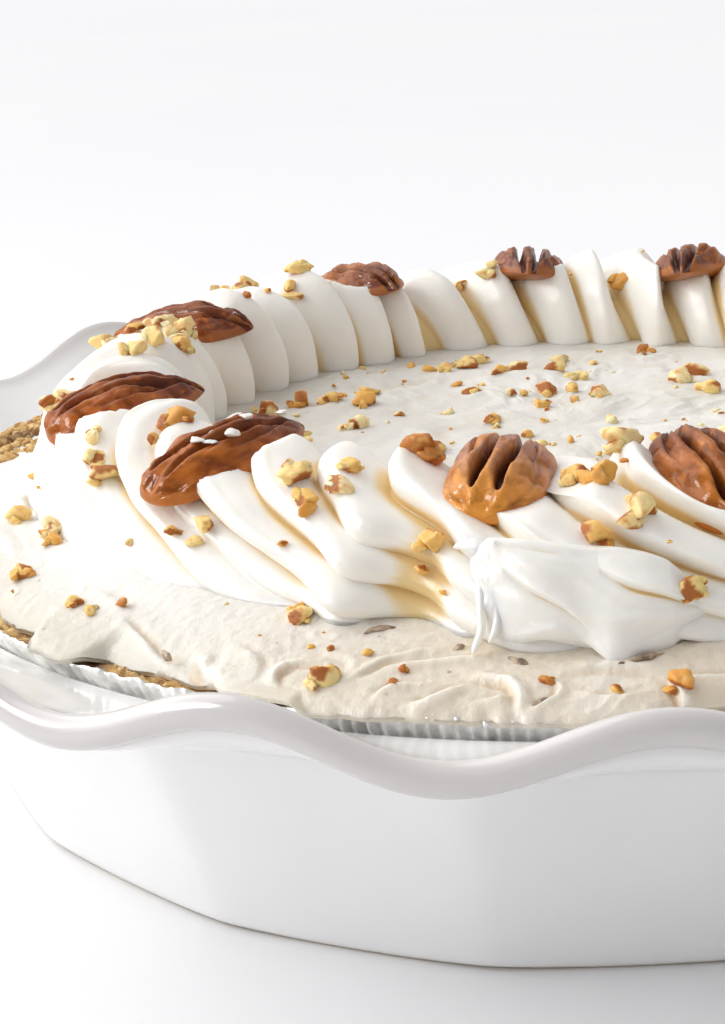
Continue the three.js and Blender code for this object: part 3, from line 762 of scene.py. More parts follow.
# How deep each point lies below the smoothed surface round it, 0 to 1: moving averages along columns and rows.
def sunken(points, acrossColumns, acrossRows, depth):
    out = np.linalg.norm(points - polar(azimuthOf(points), wreath["crestRadius"], 47), axis=-1)
    total = sum(np.roll(out, k, 1) for k in range(-acrossColumns, acrossColumns + 1)) / (2 * acrossColumns + 1)
    padded = np.pad(total, ((acrossRows, acrossRows), (0, 0)), mode="edge")
    total = sum(padded[k:k + len(out)] for k in range(2 * acrossRows + 1)) / (2 * acrossRows + 1)
    return np.clip((total - out) / depth, 0, 1)


def buildWreath():
    w = wreath
    strand = np.arange(w["strands"])
    edge = strandAngle(strand) - halfWidth(strand)
    following = strandAngle(strand + 1) - halfWidth(strand + 1)
    step = np.linspace(0, 1, w["columnsPerStrand"], endpoint=False)
    crestAngle = (edge[:, None] + (following - edge)[:, None] * (0.4 * step + 0.6 * step ** 2.4)[None]).ravel()
    crest, up = np.broadcast_arrays(crestAngle[None], np.linspace(1, 0, w["rows"])[:, None])
    points, lift = ringPoint(crest, up)
    away = unit(points - polar(azimuthOf(points), w["crestRadius"], 48))
    streaks = lumps(xyz(crest * 1.1, 2.2 * up, 0.0), 1.0, 43)
    relief = 0.5 * lumps(points, 7, 41) + 0.12 * lumps(points, 2.2, 42) + 0.3 * streaks * lift
    points = pressed(points + away * (np.sin(np.pi * up) ** 0.8 * relief)[..., None])
    hollow = np.concatenate([sunken(points, 12, 4, 1.8), np.zeros((2, points.shape[1]))])
    low = wreathReach(crestAngle + twist(1.0)) - 0.5
    under = polar(crestAngle + twist(1.0), low, bed(low) - w["sunk"] - 0.3)
    middle = polar(crestAngle + twist(0.3), w["crestRadius"], bed(w["crestRadius"]) - 1.0)
    return skin(np.concatenate([points, middle[None], under[None]]), poles=False, hollow=hollow)


def creamMaterial():
    material, tree, shader, place = newMaterial("whippedCream", Roughness=0.42, Subsurface_Weight=0.35,
                                                Subsurface_Scale=3 * mm, Subsurface_Radius=(1.0, 0.75, 0.45))
    # Painted shade: hollows between the strands and in the lobe's creases are painted tan.
    deep = ranged(tree, tone(tree, "hollow"), 0.2, 0.95, soft=True)
    paint(tree, shader, blendColour(tree, deep, (0.91, 0.885, 0.83), (0.81, 0.61, 0.3)))
    setBump(tree, shader, grain(tree, place, 2.2, 0.25), 0.35, 0.3)
    return material


ringSkin = buildWreath()
cream = creamMaterial()
makePiece("pipedWreath", [ringSkin], cream, ["wreath"])


# The joint of the piping: a broad lobe that folds over the ring, torn into peaks at its left end.

joint = {"stations": 260, "face": 150, "back": 24, "calm": 24, "over": (2.0, 0.35), "belly": (1.5, 2.6),
         # azimuth, radius and height of its upper fold, then of its lower edge
         "fold": [(-98.6, 89.0, 55.0), (-97.6, 91.2, 57.2), (-96, 92.3, 57.6), (-94, 92.8, 57.6), (-91.5, 93.1, 57.2),
                  (-88.5, 93.0, 56.5), (-86, 93.6, 56.4), (-84, 94.6, 55.8), (-82, 95.2, 54.4), (-80, 95.4, 52),
                  (-78.5, 95.2, 49.5)],
         "edge": [(-98.6, 92.5, 48.6), (-97.6, 94.5, 47.6), (-96, 96.4, 45.2), (-94, 98.0, 45.4), (-91.5, 98.9, 46.2),
                  (-88.9, 99.2, 45.6), (-87.1, 101.6, 43.9), (-84.8, 100.2, 44.1), (-82.5, 98.8, 44.7),
                  (-80, 97.6, 45.8), (-78.5, 96.4, 47)],
         # creases and ridges of its face: azimuth and share of the way down at each end, depth, width
         "folds": [(-95.2, 0.36, -87.8, 0.86, -1.0, 0.032), (-87.8, 0.3, -79.6, 0.62, -1.2, 0.036),
                   (-92.5, 0.6, -79.5, 0.7, 0.4, 0.05), (-95.8, 0.12, -89.0, 0.26, -0.4, 0.03),
                   (-94.5, 0.28, -86.5, 0.52, 0.3, 0.04), (-92, 0.1, -82, 0.14, 0.3, 0.04),
                   (-93.0, 0.78, -89.5, 0.92, 0.4, 0.04), (-86.5, 0.8, -81, 0.78, -0.25, 0.03)],
         # torn peaks: azimuth, share of the way down, height, reach in degrees
         "peaks": [(-97.9, 0.1, 1.7, 0.4), (-97.2, 0.3, 0.9, 0.45), (-96.9, 0.52, 0.8, 0.35), (-96.6, 0.72, 0.8, 0.35),
                   (-95.9, 0.16, 0.8, 0.4)]}


# Section at each azimuth: from the fold, over a cubic face, to the edge, and back inside the ring.
def buildLobe():
    j = joint
    azimuth = mix(j["fold"][0][0], j["fold"][-1][0], np.linspace(0, 1, j["stations"]))
    fold, edge = through(j["fold"], azimuth), through(j["edge"], azimuth)
    v = np.linspace(0, 1, j["face"])[None, :, None]
    even = np.ones(2 * j["calm"] + 1) / (2 * j["calm"] + 1)
    calm = np.stack([np.convolve(np.pad(edge[:, k], j["calm"], mode="edge"), even, "valid") for k in (0, 1)], -1)
    end = mix(calm[:, None], edge[:, None], smooth(v, 0.45, 1))
    face = ((1 - v) ** 3 * fold[:, None] + 3 * v * (1 - v) ** 2 * (fold + j["over"])[:, None]
            + 3 * v ** 2 * (1 - v) * (end + j["belly"]) + v ** 3 * end)
    slope = np.gradient(face, axis=1)
    out = unit(np.stack([-slope[..., 1], slope[..., 0]], -1))
    a, down = azimuth[:, None], v[..., 0]
    flat = xyz(a * 0.5 - 2.2 * down, 11 * down, 0.0)
    push = 0.3 * lumps(flat, 3.2, 51) + 0.16 * lumps(flat, 1.1, 52)
    for a0, v0, a1, v1, depth, width in j["folds"]:
        share = np.clip((a - a0) / (a1 - a0), 0, 1)
        offset = (down - mix(v0, v1, share) - 0.02 * np.sin(7 * share)) / width
        crease = np.exp(-offset ** 2)
        if depth < -0.55:  # the flap above the deepest ones overlaps what lies below
            crease = mix(-0.8 * np.exp(-(offset / 5) ** 2), np.exp(-(offset / 1.6) ** 2), smooth(offset, -0.5, 0.5))
        push = push + depth * np.sin(np.pi * share) ** 0.9 * crease * ((a > a0) & (a < a1))
    for a0, v0, tall, reach in j["peaks"]:
        far = np.hypot((a - a0) / reach, (down - v0) * 12 / (reach * 1.7))
        push = push + tall * np.exp(-far ** 1.3 * 1.2)
    face = face + out * (push * np.sin(np.pi * np.clip(down, 0.02, 0.98)) ** 0.35)[..., None]
    w, middle = np.linspace(0, 1, j["back"] + 2)[1:-1][None, :, None], mix(fold, edge, 0.5)
    deep = middle - np.array([6.0, 0.0])
    back = (1 - w) ** 2 * edge[:, None] + 2 * w * (1 - w) * deep[:, None] + w ** 2 * fold[:, None]
    gather = np.minimum(1, np.sqrt(np.linspace(0, 1, j["stations"]) * 9))
    gather = gather * np.minimum(1, np.sqrt(np.linspace(1, 0, j["stations"]) * 5))
    centre = middle[:, None] - np.array([1.6, 0])
    loop = centre + (np.concatenate([face, back], 1) - centre) * np.maximum(gather, 0.05)[:, None, None]
    push = np.concatenate([push, np.zeros((j["stations"], j["back"]))], 1)
    points, hollow = polar(a, loop[..., 0], loop[..., 1]), np.clip((-push - 0.25) / 0.6, 0, 1)
    return skin(points[:, ::-1], hollow=hollow[:, ::-1])


# A thin drawn-out thread of cream: a round tube through a few points, its radius given at each.
def thread(stops, sides=12, steps=30):
    line = trace(stops, steps)
    middle = polar(line[:, 0], line[:, 1], line[:, 2])
    ahead = unit(np.gradient(middle, axis=0))
    side = unit(np.cross(ahead, polar(line[:, 0], 1.0, 0)))
    third = np.cross(ahead, side)
    ends = np.sqrt(np.clip(1 - np.abs(np.linspace(-1, 1, steps)) ** 8, 0.02, 1))
    turn = np.linspace(0, 360, sides, endpoint=False)[None, :, None]
    reach = (line[:, 3] * ends)[:, None, None]
    return skin(middle[:, None] + reach * (cosDeg(turn) * side[:, None] + sinDeg(turn) * third[:, None]), hollow=0.0)


# azimuth, radius, height and thickness at each stop
threads = [[(-97.0, 94.4, 51.8, 0.8), (-96.8, 96.2, 49.4, 0.65), (-96.7, 97.4, 47.0, 0.55), (-97.0, 98.8, 45.3, 0.5),
            (-97.2, 100.0, 44.5, 0.25)],
           [(-95.9, 95.2, 51.8, 0.7), (-95.5, 96.6, 49.2, 0.6), (-95.6, 97.6, 47.2, 0.5), (-96.1, 98.6, 45.4, 0.25)],
           [(-96.6, 91.2, 55.4, 1.5), (-97.7, 91.0, 55.9, 1.2), (-98.8, 90.4, 55.8, 0.7), (-99.7, 89.8, 55.2, 0.15)]]
makePiece("jointLobe", [buildLobe()] + [thread(stops) for stops in threads], cream)


# The pecan halves.

half = {"columns": 112, "rows": 92, "grooveAt": 0.235, "grooveDepth": 0.7, "grooveWidth": 0.08, "droop": 0.7,
        "underside": 1.8, "wrinkle": 0.26, "swell": 0.25, "lobe": 0.5, "tapers": [0.5, 0.78, 0.7],
        "amber": [1.0, 0.16, 0.07, 0.12, 0.3, 0.2, 0.4, 0.3, 0.3, 0.3, 0.3, 0.3]}


# Half a kernel along X: a rounded section with two wavering grooves, plump in the middle, wrinkled on its back.
def buildPecan(index):
    h, p, seed = half, pecan, 60 + 7 * index
    length = p["length"] * (0.94 + 0.12 * draw(index) - 0.07 * (index == 0))
    width = p["width"] * (0.94 + 0.12 * draw(index + 50))
    height = p["height"] * (0.95 + 0.16 * draw(index + 90))
    along = -np.cos(np.pi * np.linspace(0, 1, h["rows"] + 2)[1:-1, None])
    turn = np.linspace(0, 2 * np.pi, h["columns"], endpoint=False)[None]
    side, above = np.cos(turn), np.sin(turn)
    out = np.abs(side)
    edgeWave = lumps(xyz(along * 4, np.sign(side), 0.0), 1.0, seed + 3)
    taper = h["tapers"][index] if index < len(h["tapers"]) else 0.5 + 0.25 * draw(index + 5)
    plump = (1 - along ** 2) ** mix(taper, 0.36, (along + 1) / 2) * (1 + 0.1 * along) * (1 + 0.06 * edgeWave)
    waver = 0.045 * np.sin(3.1 * along + 6 * draw(index + 3)) + 0.012 * np.sin(9 * along + index)
    pinch = 1 - 0.45 * smooth(-along, 0.3, 1)
    off = side * plump
    thick = h["grooveWidth"] * (1 + 0.3 * np.sin(5 * along + 2 * index))
    right, left = (h["grooveAt"] + waver) * pinch, (h["grooveAt"] - 0.6 * waver) * pinch
    near = np.minimum(np.abs(off - right), np.abs(off + left))
    far = 0.5 * np.exp(-((out - 0.62 * pinch + waver) / (0.7 * thick)) ** 2) * smooth(-along, -0.5, 0.4)
    fade = 1 - smooth(along, 0.66, 0.9)
    groove = np.clip(np.exp(-(near / thick) ** 2.4) + far, 0, 1) * fade
    shoulder = np.exp(-(near / (2.4 * thick)) ** 2) * (0.35 + 0.65 * fade)
    knobs = 0.35 * smooth(along, 0.6, 0.85) * np.cos(2 * np.pi * off / 0.5 + 2.6 + 0.5 * np.sin(index))
    rim = 0.35 * np.exp(-((out - 0.8) / 0.07) ** 2) * smooth(0.4 * np.sin(6 * along + index) + along, -0.3, 0.5)
    back = np.clip(1 - out ** 2.6, 0, None) ** 0.6 * (1 - h["grooveDepth"] * groove) * (1 - 0.6 * rim)
    front = np.clip(1 - side ** 2, 0, None) ** 0.5
    lift = np.where(above >= 0, height * back, -h["underside"] * front)
    points = xyz(length / 2 * along, width / 2 * side * plump, lift * plump - h["droop"] * along ** 2)
    x, y, z = np.moveaxis(points, -1, 0)
    bend = 1.2 * lumps(points, 5, seed + 4)
    cross = xyz(x / 5.5 + 0.3 * np.abs(y), (y + bend) / 1.25, (z + bend) / 1.6)
    wrinkle = 1 - np.abs(lumps(cross, 1.0, seed)) ** 0.7
    swell = lumps(points, 4.5, seed + 1) + 0.5 * lumps(points, 2.2, seed + 2)
    onBack = smooth(z, 0.1, 1.4)
    flank = smooth(out, 0.4, 0.6) * (1 - smooth(out, 0.9, 1))
    lobes = np.abs(np.sin(np.pi * (1.9 * along + 0.9 * out + np.sign(side) * draw(index + 17)))) ** 0.6
    fine = lumps(xyz(x / 3, (np.abs(y) + bend) / 0.6, z), 1.0, seed + 5)
    folds = lumps(xyz((x + bend) / 0.8, np.abs(y) / 3.5, z / 3.5), 1.0, seed + 6)
    outward = points / np.array([length / 2, width / 2, height]) ** 2
    outward /= np.linalg.norm(outward, axis=-1, keepdims=True) + 1e-9
    push = h["wrinkle"] * (0.5 - wrinkle) * (1 - 0.7 * groove) + h["swell"] * swell * (1 - 0.5 * groove)
    push = push + h["lobe"] * flank * (lobes - 0.7) + 0.08 * fine + 0.09 * folds * (1 - groove) + knobs
    points += outward * (push * onBack)[..., None]
    turnTo, middle = pecanPlaces[index]
    tones = {"groove": (groove + rim) * (above > 0), "shoulder": shoulder * (above > 0), "end": along + 0 * side,
             "crease": np.maximum(wrinkle, flank * (1.25 - lobes)) * onBack}
    return skin((points @ turnTo.T + middle)[:, ::-1], **{name: tone[:, ::-1] for name, tone in tones.items()})


def towards(colour, other, share):
    return mix(np.array(colour), np.array(other), share)


def pecanMaterial(index):
    material, tree, shader, place = newMaterial(f"pecanSkin{index + 1:02d}", Roughness=0.34, Specular_IOR_Level=0.08,
                                                Specular_Tint=(1.0, 0.6, 0.4, 1.0), Coat_Weight=0.27,
                                                Coat_Roughness=0.13)
    front = index == 0  # its left end is pale and rosy, its right end amber
    turnAt = -0.15 if front else -0.7
    outer, crease = ranged(tree, tone(tree, "end"), turnAt, turnAt + 1.2), tone(tree, "crease")
    light = towards((0.34, 0.05, 0.005), (0.84, 0.31, 0.035), half["amber"][index])
    rosy = np.array((0.42, 0.17, 0.12) if front else (0.165, 0.04, 0.02))
    # Painted sheen and shade: on the front half the rosy inner end is lightened towards pink, partly its own colour and
    # partly a painted sheen; ridges are painted lighter and the shoulders beside the grooves darker, as painted shade.
    ridge = blendColour(tree, outer, towards(rosy, (0.6, 0.36, 0.29), 0.3 if front else 0.08),
                        towards(light, (0.93, 0.42, 0.06), 0.4 if front else 0.14))
    shade = blendColour(tree, outer, 0.5 * rosy, 0.42 * light)
    body = blendColour(tree, tone(tree, "shoulder"), ridge, shade)
    body = blendColour(tree, patches(tree, place, 3.2, 0.42, 0.7), body, mix(0.7 * rosy, 0.7 * light, 0.7))
    papery, crest = towards(light, (0.85, 0.36, 0.08), 0.35), towards(light, (0.9, 0.45, 0.15), 0.35)
    body = blendColour(tree, patches(tree, place, 1.6, 0.56, 0.8), body, papery)
    # Painted highlight on the tops of the wrinkles, and painted shade in the deepest creases.
    body = blendColour(tree, ranged(tree, crease, 0.5, 0.2, 0.4), body, crest)
    body = blendColour(tree, ranged(tree, crease, 0.62, 0.97, 0.5), body, 0.3 * light)
    # Painted shade: the grooves and the crack beside the rim are painted nearly black.
    deep = ranged(tree, tone(tree, "groove"), 0.15, 0.8, soft=True)
    paint(tree, shader, blendColour(tree, deep, body, (0.075, 0.012, 0.004)))
    setBump(tree, shader, grain(tree, place, 0.8, 0.6), 0.5, 0.22)
    return material


for index in range(len(pecan["angles"])):
    number = f"{index + 1:02d}"
    makePiece("pecanHalf" + number, [buildPecan(index)], pecanMaterial(index), ["pecan_" + number])


# Chopped nuts.

chopped = {"planes": 9, "skinPlanes": 2, "nearestCut": 0.42, "cutSpread": 0.5, "largest": 1.1, "crumble": 0.13,
           "partSize": 0.45, "partSpread": 0.3, "apart": 0.36, "seat": 0.26, "touch": 0.7, "restChunks": 12,
           "bedChunks": 24, "bedCrumbs": 160, "bandCrumbs": 60, "ringCrumbs": 60, "spiltCrumbs": 190}

# Where the larger ones lie: azimuth, radius, size, and shade from brown (0) to pale (1).
onRing = [(-117.2, 81.5, 5.4, 0.6), (-114.6, 85, 4.4, 0.3), (-111.6, 83.6, 3.6, 0.95), (-112.1, 78.9, 3.2, 0.4),
          (-105.6, 72.5, 5.6, 0.08), (-101.7, 88.3, 4.6, 0.5), (-86.9, 81.5, 4.6, 0.25), (-89.3, 78.2, 4.4, 0.55),
          (-83.4, 69.5, 5.4, 0.7), (-87.8, 90.6, 4.4, 0.4), (-84.4, 90.3, 5.6, 0.65), (-81.2, 97.6, 4, 0.6),
          (-125.4, 88, 3.4, 0.7), (-128.8, 89.3, 2.6, 0.35), (-145.8, 86.8, 3.8, 0.8), (-142.6, 87, 4.2, 0.65),
          (-141.6, 74.6, 4.8, 0.12), (-148.3, 84.5, 3.6, 0.8), (-154.7, 75.1, 4.2, 0.95), (-175.7, 73, 4.6, 0.6),
          (179.4, 70, 5, 0.65), (169.5, 68.5, 4.6, 0.7), (174, 75.5, 4.4, 0.6), (-169, 77, 4.2, 0.7),
          (177, 66.5, 4, 0.5), (148.6, 76, 5.2, 0.75), (141.4, 77.5, 5, 0.7), (138, 70, 4.2, 0.6),
          (107.6, 72.5, 4.2, 0.65), (103, 68.5, 3.8, 0.7), (80.2, 69.5, 4.6, 0.3),
          (168.6, 73, 5.2, 0.9), (170, 77.5, 4.6, 0.5), (172.4, 69, 4.6, 0.75), (176, 80, 4.8, 0.95),
          (173, 82.5, 4.2, 0.6), (141.4, 85, 4.8, 0.8), (136.6, 87, 4.6, 0.95), (138.9, 81.8, 5, 0.7),
          (132.2, 84, 4.6, 0.85), (134.6, 74, 4.6, 0.5), (-166.5, 84, 4.4, 0.9), (-169.5, 87, 4, 0.8)]
onBand = [(-113, 93.5, 3.8, 0.6), (-113.6, 91.6, 2.2, 0.3), (-155.7, 94.5, 3.8, 0.45), (-142.5, 101.4, 3.6, 0.4),
          (-133.2, 101.9, 3, 0.45), (-130.6, 102.4, 2.2, 0.6), (-107.2, 107, 4.2, 0.65), (-102.2, 106, 1.9, 0.02),
          (-91.8, 104.7, 1.8, 0.1), (-101.9, 103, 1.4, 0.02), (-108.2, 99.5, 1.2, 0.1), (-82.9, 107.4, 3.4, 0.2),
          (-148.6, 92.4, 3.4, 0.8), (-146.2, 93.6, 2.8, 0.3), (20, 100, 4, 0.5), (-34, 101, 4.4, 0.6),
          (96, 100, 4.2, 0.4), (148, 99, 3.8, 0.6)]


def roundSeed(halvings):  # an even ball: a twenty-faced one, with every face cut in four, as often as asked
    g = (1 + 5 ** 0.5) / 2
    corners = np.array([(-1, g, 0), (1, g, 0), (-1, -g, 0), (1, -g, 0)])
    points = np.concatenate([np.roll(corners, k, 1) for k in range(3)])
    faces = np.array([(0, 11, 5), (0, 5, 1), (0, 1, 7), (0, 7, 10), (0, 10, 11), (1, 5, 9), (5, 11, 4), (11, 10, 2),
                      (10, 7, 6), (7, 1, 8), (3, 9, 4), (3, 4, 2), (3, 2, 6), (3, 6, 8), (3, 8, 9), (4, 9, 5),
                      (2, 4, 11), (6, 2, 10), (8, 6, 7), (9, 8, 1)])
    for _ in range(halvings):
        sides = np.sort(np.concatenate([faces[:, [0, 1]], faces[:, [1, 2]], faces[:, [2, 0]]]), 1)
        every, which = np.unique(sides, axis=0, return_inverse=True)
        a, b, c = which.reshape(3, -1) + len(points)
        points = np.concatenate([points, points[every].mean(1)])
        parts = ((faces[:, 0], a, c), (faces[:, 1], b, a), (faces[:, 2], c, b), (a, b, c))
        faces = np.concatenate([np.stack(part, -1) for part in parts])
    return unit(points), faces


# Broken bits: a ball cut by random planes, radius = least of offset / (direction . normal); a few planes keep skin.
def bits(spots, sizes, shades, halvings, seed, flatten=0.75):
    c, one = chopped, np.arange(len(spots))
    ball, faces = roundSeed(halvings)
    n = one[:, None] * c["planes"] + np.arange(c["planes"])[None] + seed * 1000.0
    height = 2 * draw(n) - 1
    normals = polar(360 * draw(n + 0.37), np.sqrt(1 - height ** 2), height)
    facing = np.einsum("vk,pnk->pvn", ball, normals)
    offsets = (c["nearestCut"] + c["cutSpread"] * draw(n + 0.71))[:, None]
    reach = np.where(facing > 0.05, offsets / np.maximum(facing, 0.05), 9.0)
    away = one[:, None, None]
    crumbly = lumps(ball[None] + 7.3 * away, 0.5, seed) + 0.6 * lumps(ball[None] + 3.1 * away, 0.25, seed)
    shape = ball[None] * (np.minimum(reach.min(-1), c["largest"]) * (1 + c["crumble"] * crumbly))[..., None]
    shape = shape * xyz(1 + 0.35 * draw(one + seed), 0.75 + 0.25 * draw(one + seed + 0.3),
                        flatten * (0.8 + 0.4 * draw(one + seed + 0.6)))[:, None]
    shape = shape * (np.asarray(sizes)[:, None, None] / 2)
    for k in one:
        heading, tip = 360 * draw(k + seed * 3.1), 30 * (draw(k + seed * 5.3) - 0.5)
        shape[k] = shape[k] @ (turnMatrix("Z", heading) @ turnMatrix("X", tip)).T
    return crowd(shape + np.asarray(spots)[:, None], faces, shade=shades[:, None],
                 skin=reach.argmin(-1) < c["skinPlanes"])


def highest(azimuth, radius):  # the ring's height at each place, or the filling's beside it
    top, spot, ring = fillingTop(azimuth, radius)[0], polar(azimuth, radius, 0), ringSkin["points"]
    for k in np.nonzero((radius > 60) & (radius < 102))[0]:
        near = np.hypot(ring[:, 0] - spot[k, 0], ring[:, 1] - spot[k, 1]) < chopped["touch"]
        if near.any():
            top[k] = max(top[k], ring[near, 2].max())
    return top


def clearOfPecans(spots, room):
    clear = np.ones(len(spots), bool)
    for turn, middle in pecanPlaces:
        local = (spots - middle) @ turn
        x, y = local[:, 0] / (pecan["length"] / 2 + room), local[:, 1] / (pecan["width"] / 2 + room)
        clear &= np.hypot(x, y) > 1
    return clear


# Bits wanted at (azimuth, radius, size, shade) are broken into parts and set on what is under them, a little sunk.
def placeBits(wanted, sink, broken=1):
    c = chopped
    azimuth, radius, size, shade = np.repeat(np.array(wanted, float), broken, axis=0).T
    number, part = np.arange(len(size)), np.tile(np.arange(broken), len(wanted))
    own = np.where(part == 0, 1, c["partSize"] + c["partSpread"] * draw(number * 5 + 1)) * size
    shift, turn = c["apart"] * size * (part > 0), 360 * draw(number * 7 + 0.3)
    azimuth = azimuth + np.degrees(shift * cosDeg(turn) / radius)
    radius = radius + shift * sinDeg(turn)
    spots = polar(azimuth, radius, highest(azimuth, radius) + own * (c["seat"] - sink))
    keep = clearOfPecans(spots, own / 3)
    return spots[keep], own[keep], np.clip(shade + 0.2 * (draw(number + 0.6) - 0.5), 0, 1)[keep]


def nutMaterial():
    material, tree, shader, place = newMaterial("choppedNut", Roughness=0.5, Specular_IOR_Level=0.2,
                                                Subsurface_Weight=0.4, Subsurface_Scale=1.2 * mm,
                                                Subsurface_Radius=(1.0, 0.6, 0.25))
    flesh = ramp(tree, tone(tree, "shade"), (0.0, (0.5, 0.17, 0.03)), (0.3, (0.84, 0.45, 0.1)),
                 (0.6, (0.93, 0.68, 0.27)), (1.0, (0.96, 0.83, 0.53)))
    mottled = blendColour(tree, patches(tree, place, 1.6, 0.5, 0.72), flesh, (0.74, 0.42, 0.13))
    paint(tree, shader, blendColour(tree, tone(tree, "skin"), mottled, (0.42, 0.14, 0.03)))
    setBump(tree, shader, grain(tree, place, 0.7, 0.5), 0.6, 0.2)
    return material


nut = nutMaterial()
inBack = [(117.6, 49.8, 3.8, 0.5), (113, 53.1, 3.4, 0.8), (108.5, 54.9, 4.4, 0.7), (108.3, 39.2, 3.6, 0.45),
          (102.6, 41.3, 4.2, 0.8), (98.2, 26.4, 3.6, 0.3), (91.2, 45.6, 4.0, 0.7), (85.6, 35.5, 3.8, 0.6),
          (74.4, 56, 3.4, 0.05), (55.7, 37.4, 4.4, 0.9), (58.7, 45.8, 4.6, 0.75), (106.9, 15.9, 3.2, 0.4),
          (152.8, 40.9, 3.8, 0.3), (155.7, 47, 4.2, 0.45), (158, 52, 4.4, 0.2)]
i = np.arange(chopped["restChunks"])
onRest = list(zip(62 - 11.2 * i + 5 * draw(i + 200), 68 + 20 * draw(i + 230), 3.6 + 1.6 * draw(i + 260),
                  draw(i + 290)))
i = np.arange(chopped["bedChunks"])
inRing = list(zip(137.5 * i + 20, 57 * np.sqrt((i + 0.5) / chopped["bedChunks"]), 2.6 + 2 * draw(i + 300),
                  0.2 + 0.7 * draw(i + 330)))
chunks = placeBits(onRing + onBand + onRest + inRing + inBack, 0.12, 3)
makePiece("nutChunks", [bits(*chunks, 2, 5)], nut)


# Crumbs strewn at near + far * draw^power from the axis, least to least + more in size, brown ones from darkest on.
def strewn(count, seed, near, far, power, least, more, darkest):
    i = np.arange(count)
    return list(zip(360 * draw(i + seed), far * draw(i + seed + 300) ** power + near,
                    least + more * draw(i + seed + 500) ** 2, darkest + (1 - darkest) * draw(i + seed + 550)))


crumbs = (strewn(chopped["bedCrumbs"], 400, 0.1, 60, 0.5, 0.8, 2.2, 0.2)
          + strewn(chopped["bandCrumbs"], 1400, 88, 19, 1, 0.6, 1.8, 0)
          + strewn(chopped["ringCrumbs"], 2400, 66, 22, 1, 0.7, 1.6, 0))
i = np.arange(chopped["spiltCrumbs"])
spilt = list(zip(171 + 10 * (draw(i + 3400) + draw(i + 3450) - 1),
                 np.minimum(102.5 + 8 * (draw(i + 3700) + draw(i + 3750) - 1), 108.3), 1.2 + 2.2 * draw(i + 3900),
                 draw(i + 3950)))
makePiece("spiltCrust", [bits(*placeBits(spilt, 0.2), 1, 21)], crumbCrust)
makePiece("nutCrumbs", [bits(*placeBits(crumbs, 0.18), 1, 9)], nut)

# Thin slivers of nut half sunk in the band: azimuth and radius of each stop.
slivers = [[(-98.9, 97.8), (-98.5, 96.9), (-98.2, 96.2)], [(-94.6, 98.9), (-93.9, 100.2), (-93.1, 100.9)],
           [(-92.6, 109.6), (-91.9, 108.7), (-91.2, 107.3)], [(-86.8, 102.7), (-85.2, 101.4), (-83.3, 100.4)],
           [(-106.8, 94.6), (-105.8, 93.4), (-104.4, 92.4)], [(-120.6, 106.4), (-119.9, 106.8), (-119.3, 106.9)],
           [(-30, 98), (-28.6, 98.6), (-27.5, 98.2)], [(40, 101), (41.5, 100), (43, 100.2)],
           [(150, 97), (151.6, 98), (153, 97.6)]]


def sliver(stops):
    azimuth, radius = np.array(stops).T
    height = fillingTop(azimuth, radius)[0] + 0.02
    shape = thread(list(zip(azimuth, radius, height, [0.16, 0.55, 0.2])), sides=8, steps=20)
    shape["points"] = shape["points"] + 0.3 * np.stack([lumps(shape["points"], 1.0, k) for k in (61, 62, 63)], -1)
    return shape


def soakedMaterial():
    material, tree, shader, place = newMaterial("soakedNut", Roughness=0.5)
    soaked = patches(tree, place, 1.2, 0.4, 0.6)
    paint(tree, shader, blendColour(tree, soaked, (0.20, 0.13, 0.085), (0.46, 0.35, 0.24)))
    return material


makePiece("nutSlivers", [sliver(stops) for stops in slivers], soakedMaterial())


# Flakes of salt on one pecan half: where they lie along it and across it, and their size.
flakes = [(0.02, -0.2, 2.3), (0.36, 0.02, 2.5), (0.3, 0.3, 1.6), (-0.3, 0.05, 1.8), (0.05, 0.42, 2.8), (-0.8, 0.0, 1.6)]


def saltMaterial():
    material, tree, shader, place = newMaterial("saltFlake", Roughness=0.35, Subsurface_Weight=0.3,
                                                Subsurface_Scale=1 * mm)
    cloud = patches(tree, place, 1.2, 0.4, 0.7)
    paint(tree, shader, blendColour(tree, cloud, (0.9, 0.87, 0.82), (0.8, 0.75, 0.67)))
    setBump(tree, shader, grain(tree, place, 0.5, 0.5), 0.5, 0.15)
    return material


def placeFlakes():
    turn, middle = pecanPlaces[1]
    kernel, spots = (buildPecan(1)["points"] - middle) @ turn, []
    for along, across, size in flakes:
        x, y = along * pecan["length"] / 2, across * pecan["width"] / 2
        near = np.hypot(kernel[:, 0] - x, kernel[:, 1] - y) < 0.8
        spots.append(turn @ np.array([x, y, kernel[near, 2].max() + 0.25]) + middle)
    sizes = [size for _, _, size in flakes]
    return bits(np.array(spots), sizes, np.zeros(len(flakes)), 2, 14, flatten=0.45)


makePiece("saltFlakes", [placeFlakes()], saltMaterial())


# The floor, the light and the camera.

def floorMaterial():
    material, tree, shader, place = newMaterial("paleFloor", Roughness=0.55)
    cloud = patches(tree, place, 400, 0.3, 0.7)
    paint(tree, shader, blendColour(tree, cloud, (0.87, 0.87, 0.885), (0.89, 0.89, 0.9)))
    return material


floorMesh = bpy.data.meshes.new("floor")
floorMesh.from_pydata([(-6, -3, 0), (6, -3, 0), (6, 9, 0), (-6, 9, 0)], [], [(0, 1, 2, 3)])
floorMesh.materials.append(floorMaterial())
floor = newObject("floor", floorMesh)

studio = {"world": (0.99, 0.985, 1.0), "brightSide": (-0.78, 0.62, 0.1), "worldDark": 0.5, "worldBright": 0.82,
          "sunFrom": 153, "sunHeight": 38, "sunStrength": 1.95, "sunWidth": 65, "sunColour": (1.0, 0.99, 0.975),
          "lampPlace": (-0.66, -0.14, 0.34), "lampSize": 0.6, "lampPower": 1.55,
          "glintPlace": (-0.5, -0.3, 0.36), "glintSize": 0.26, "glintPower": 5.0}


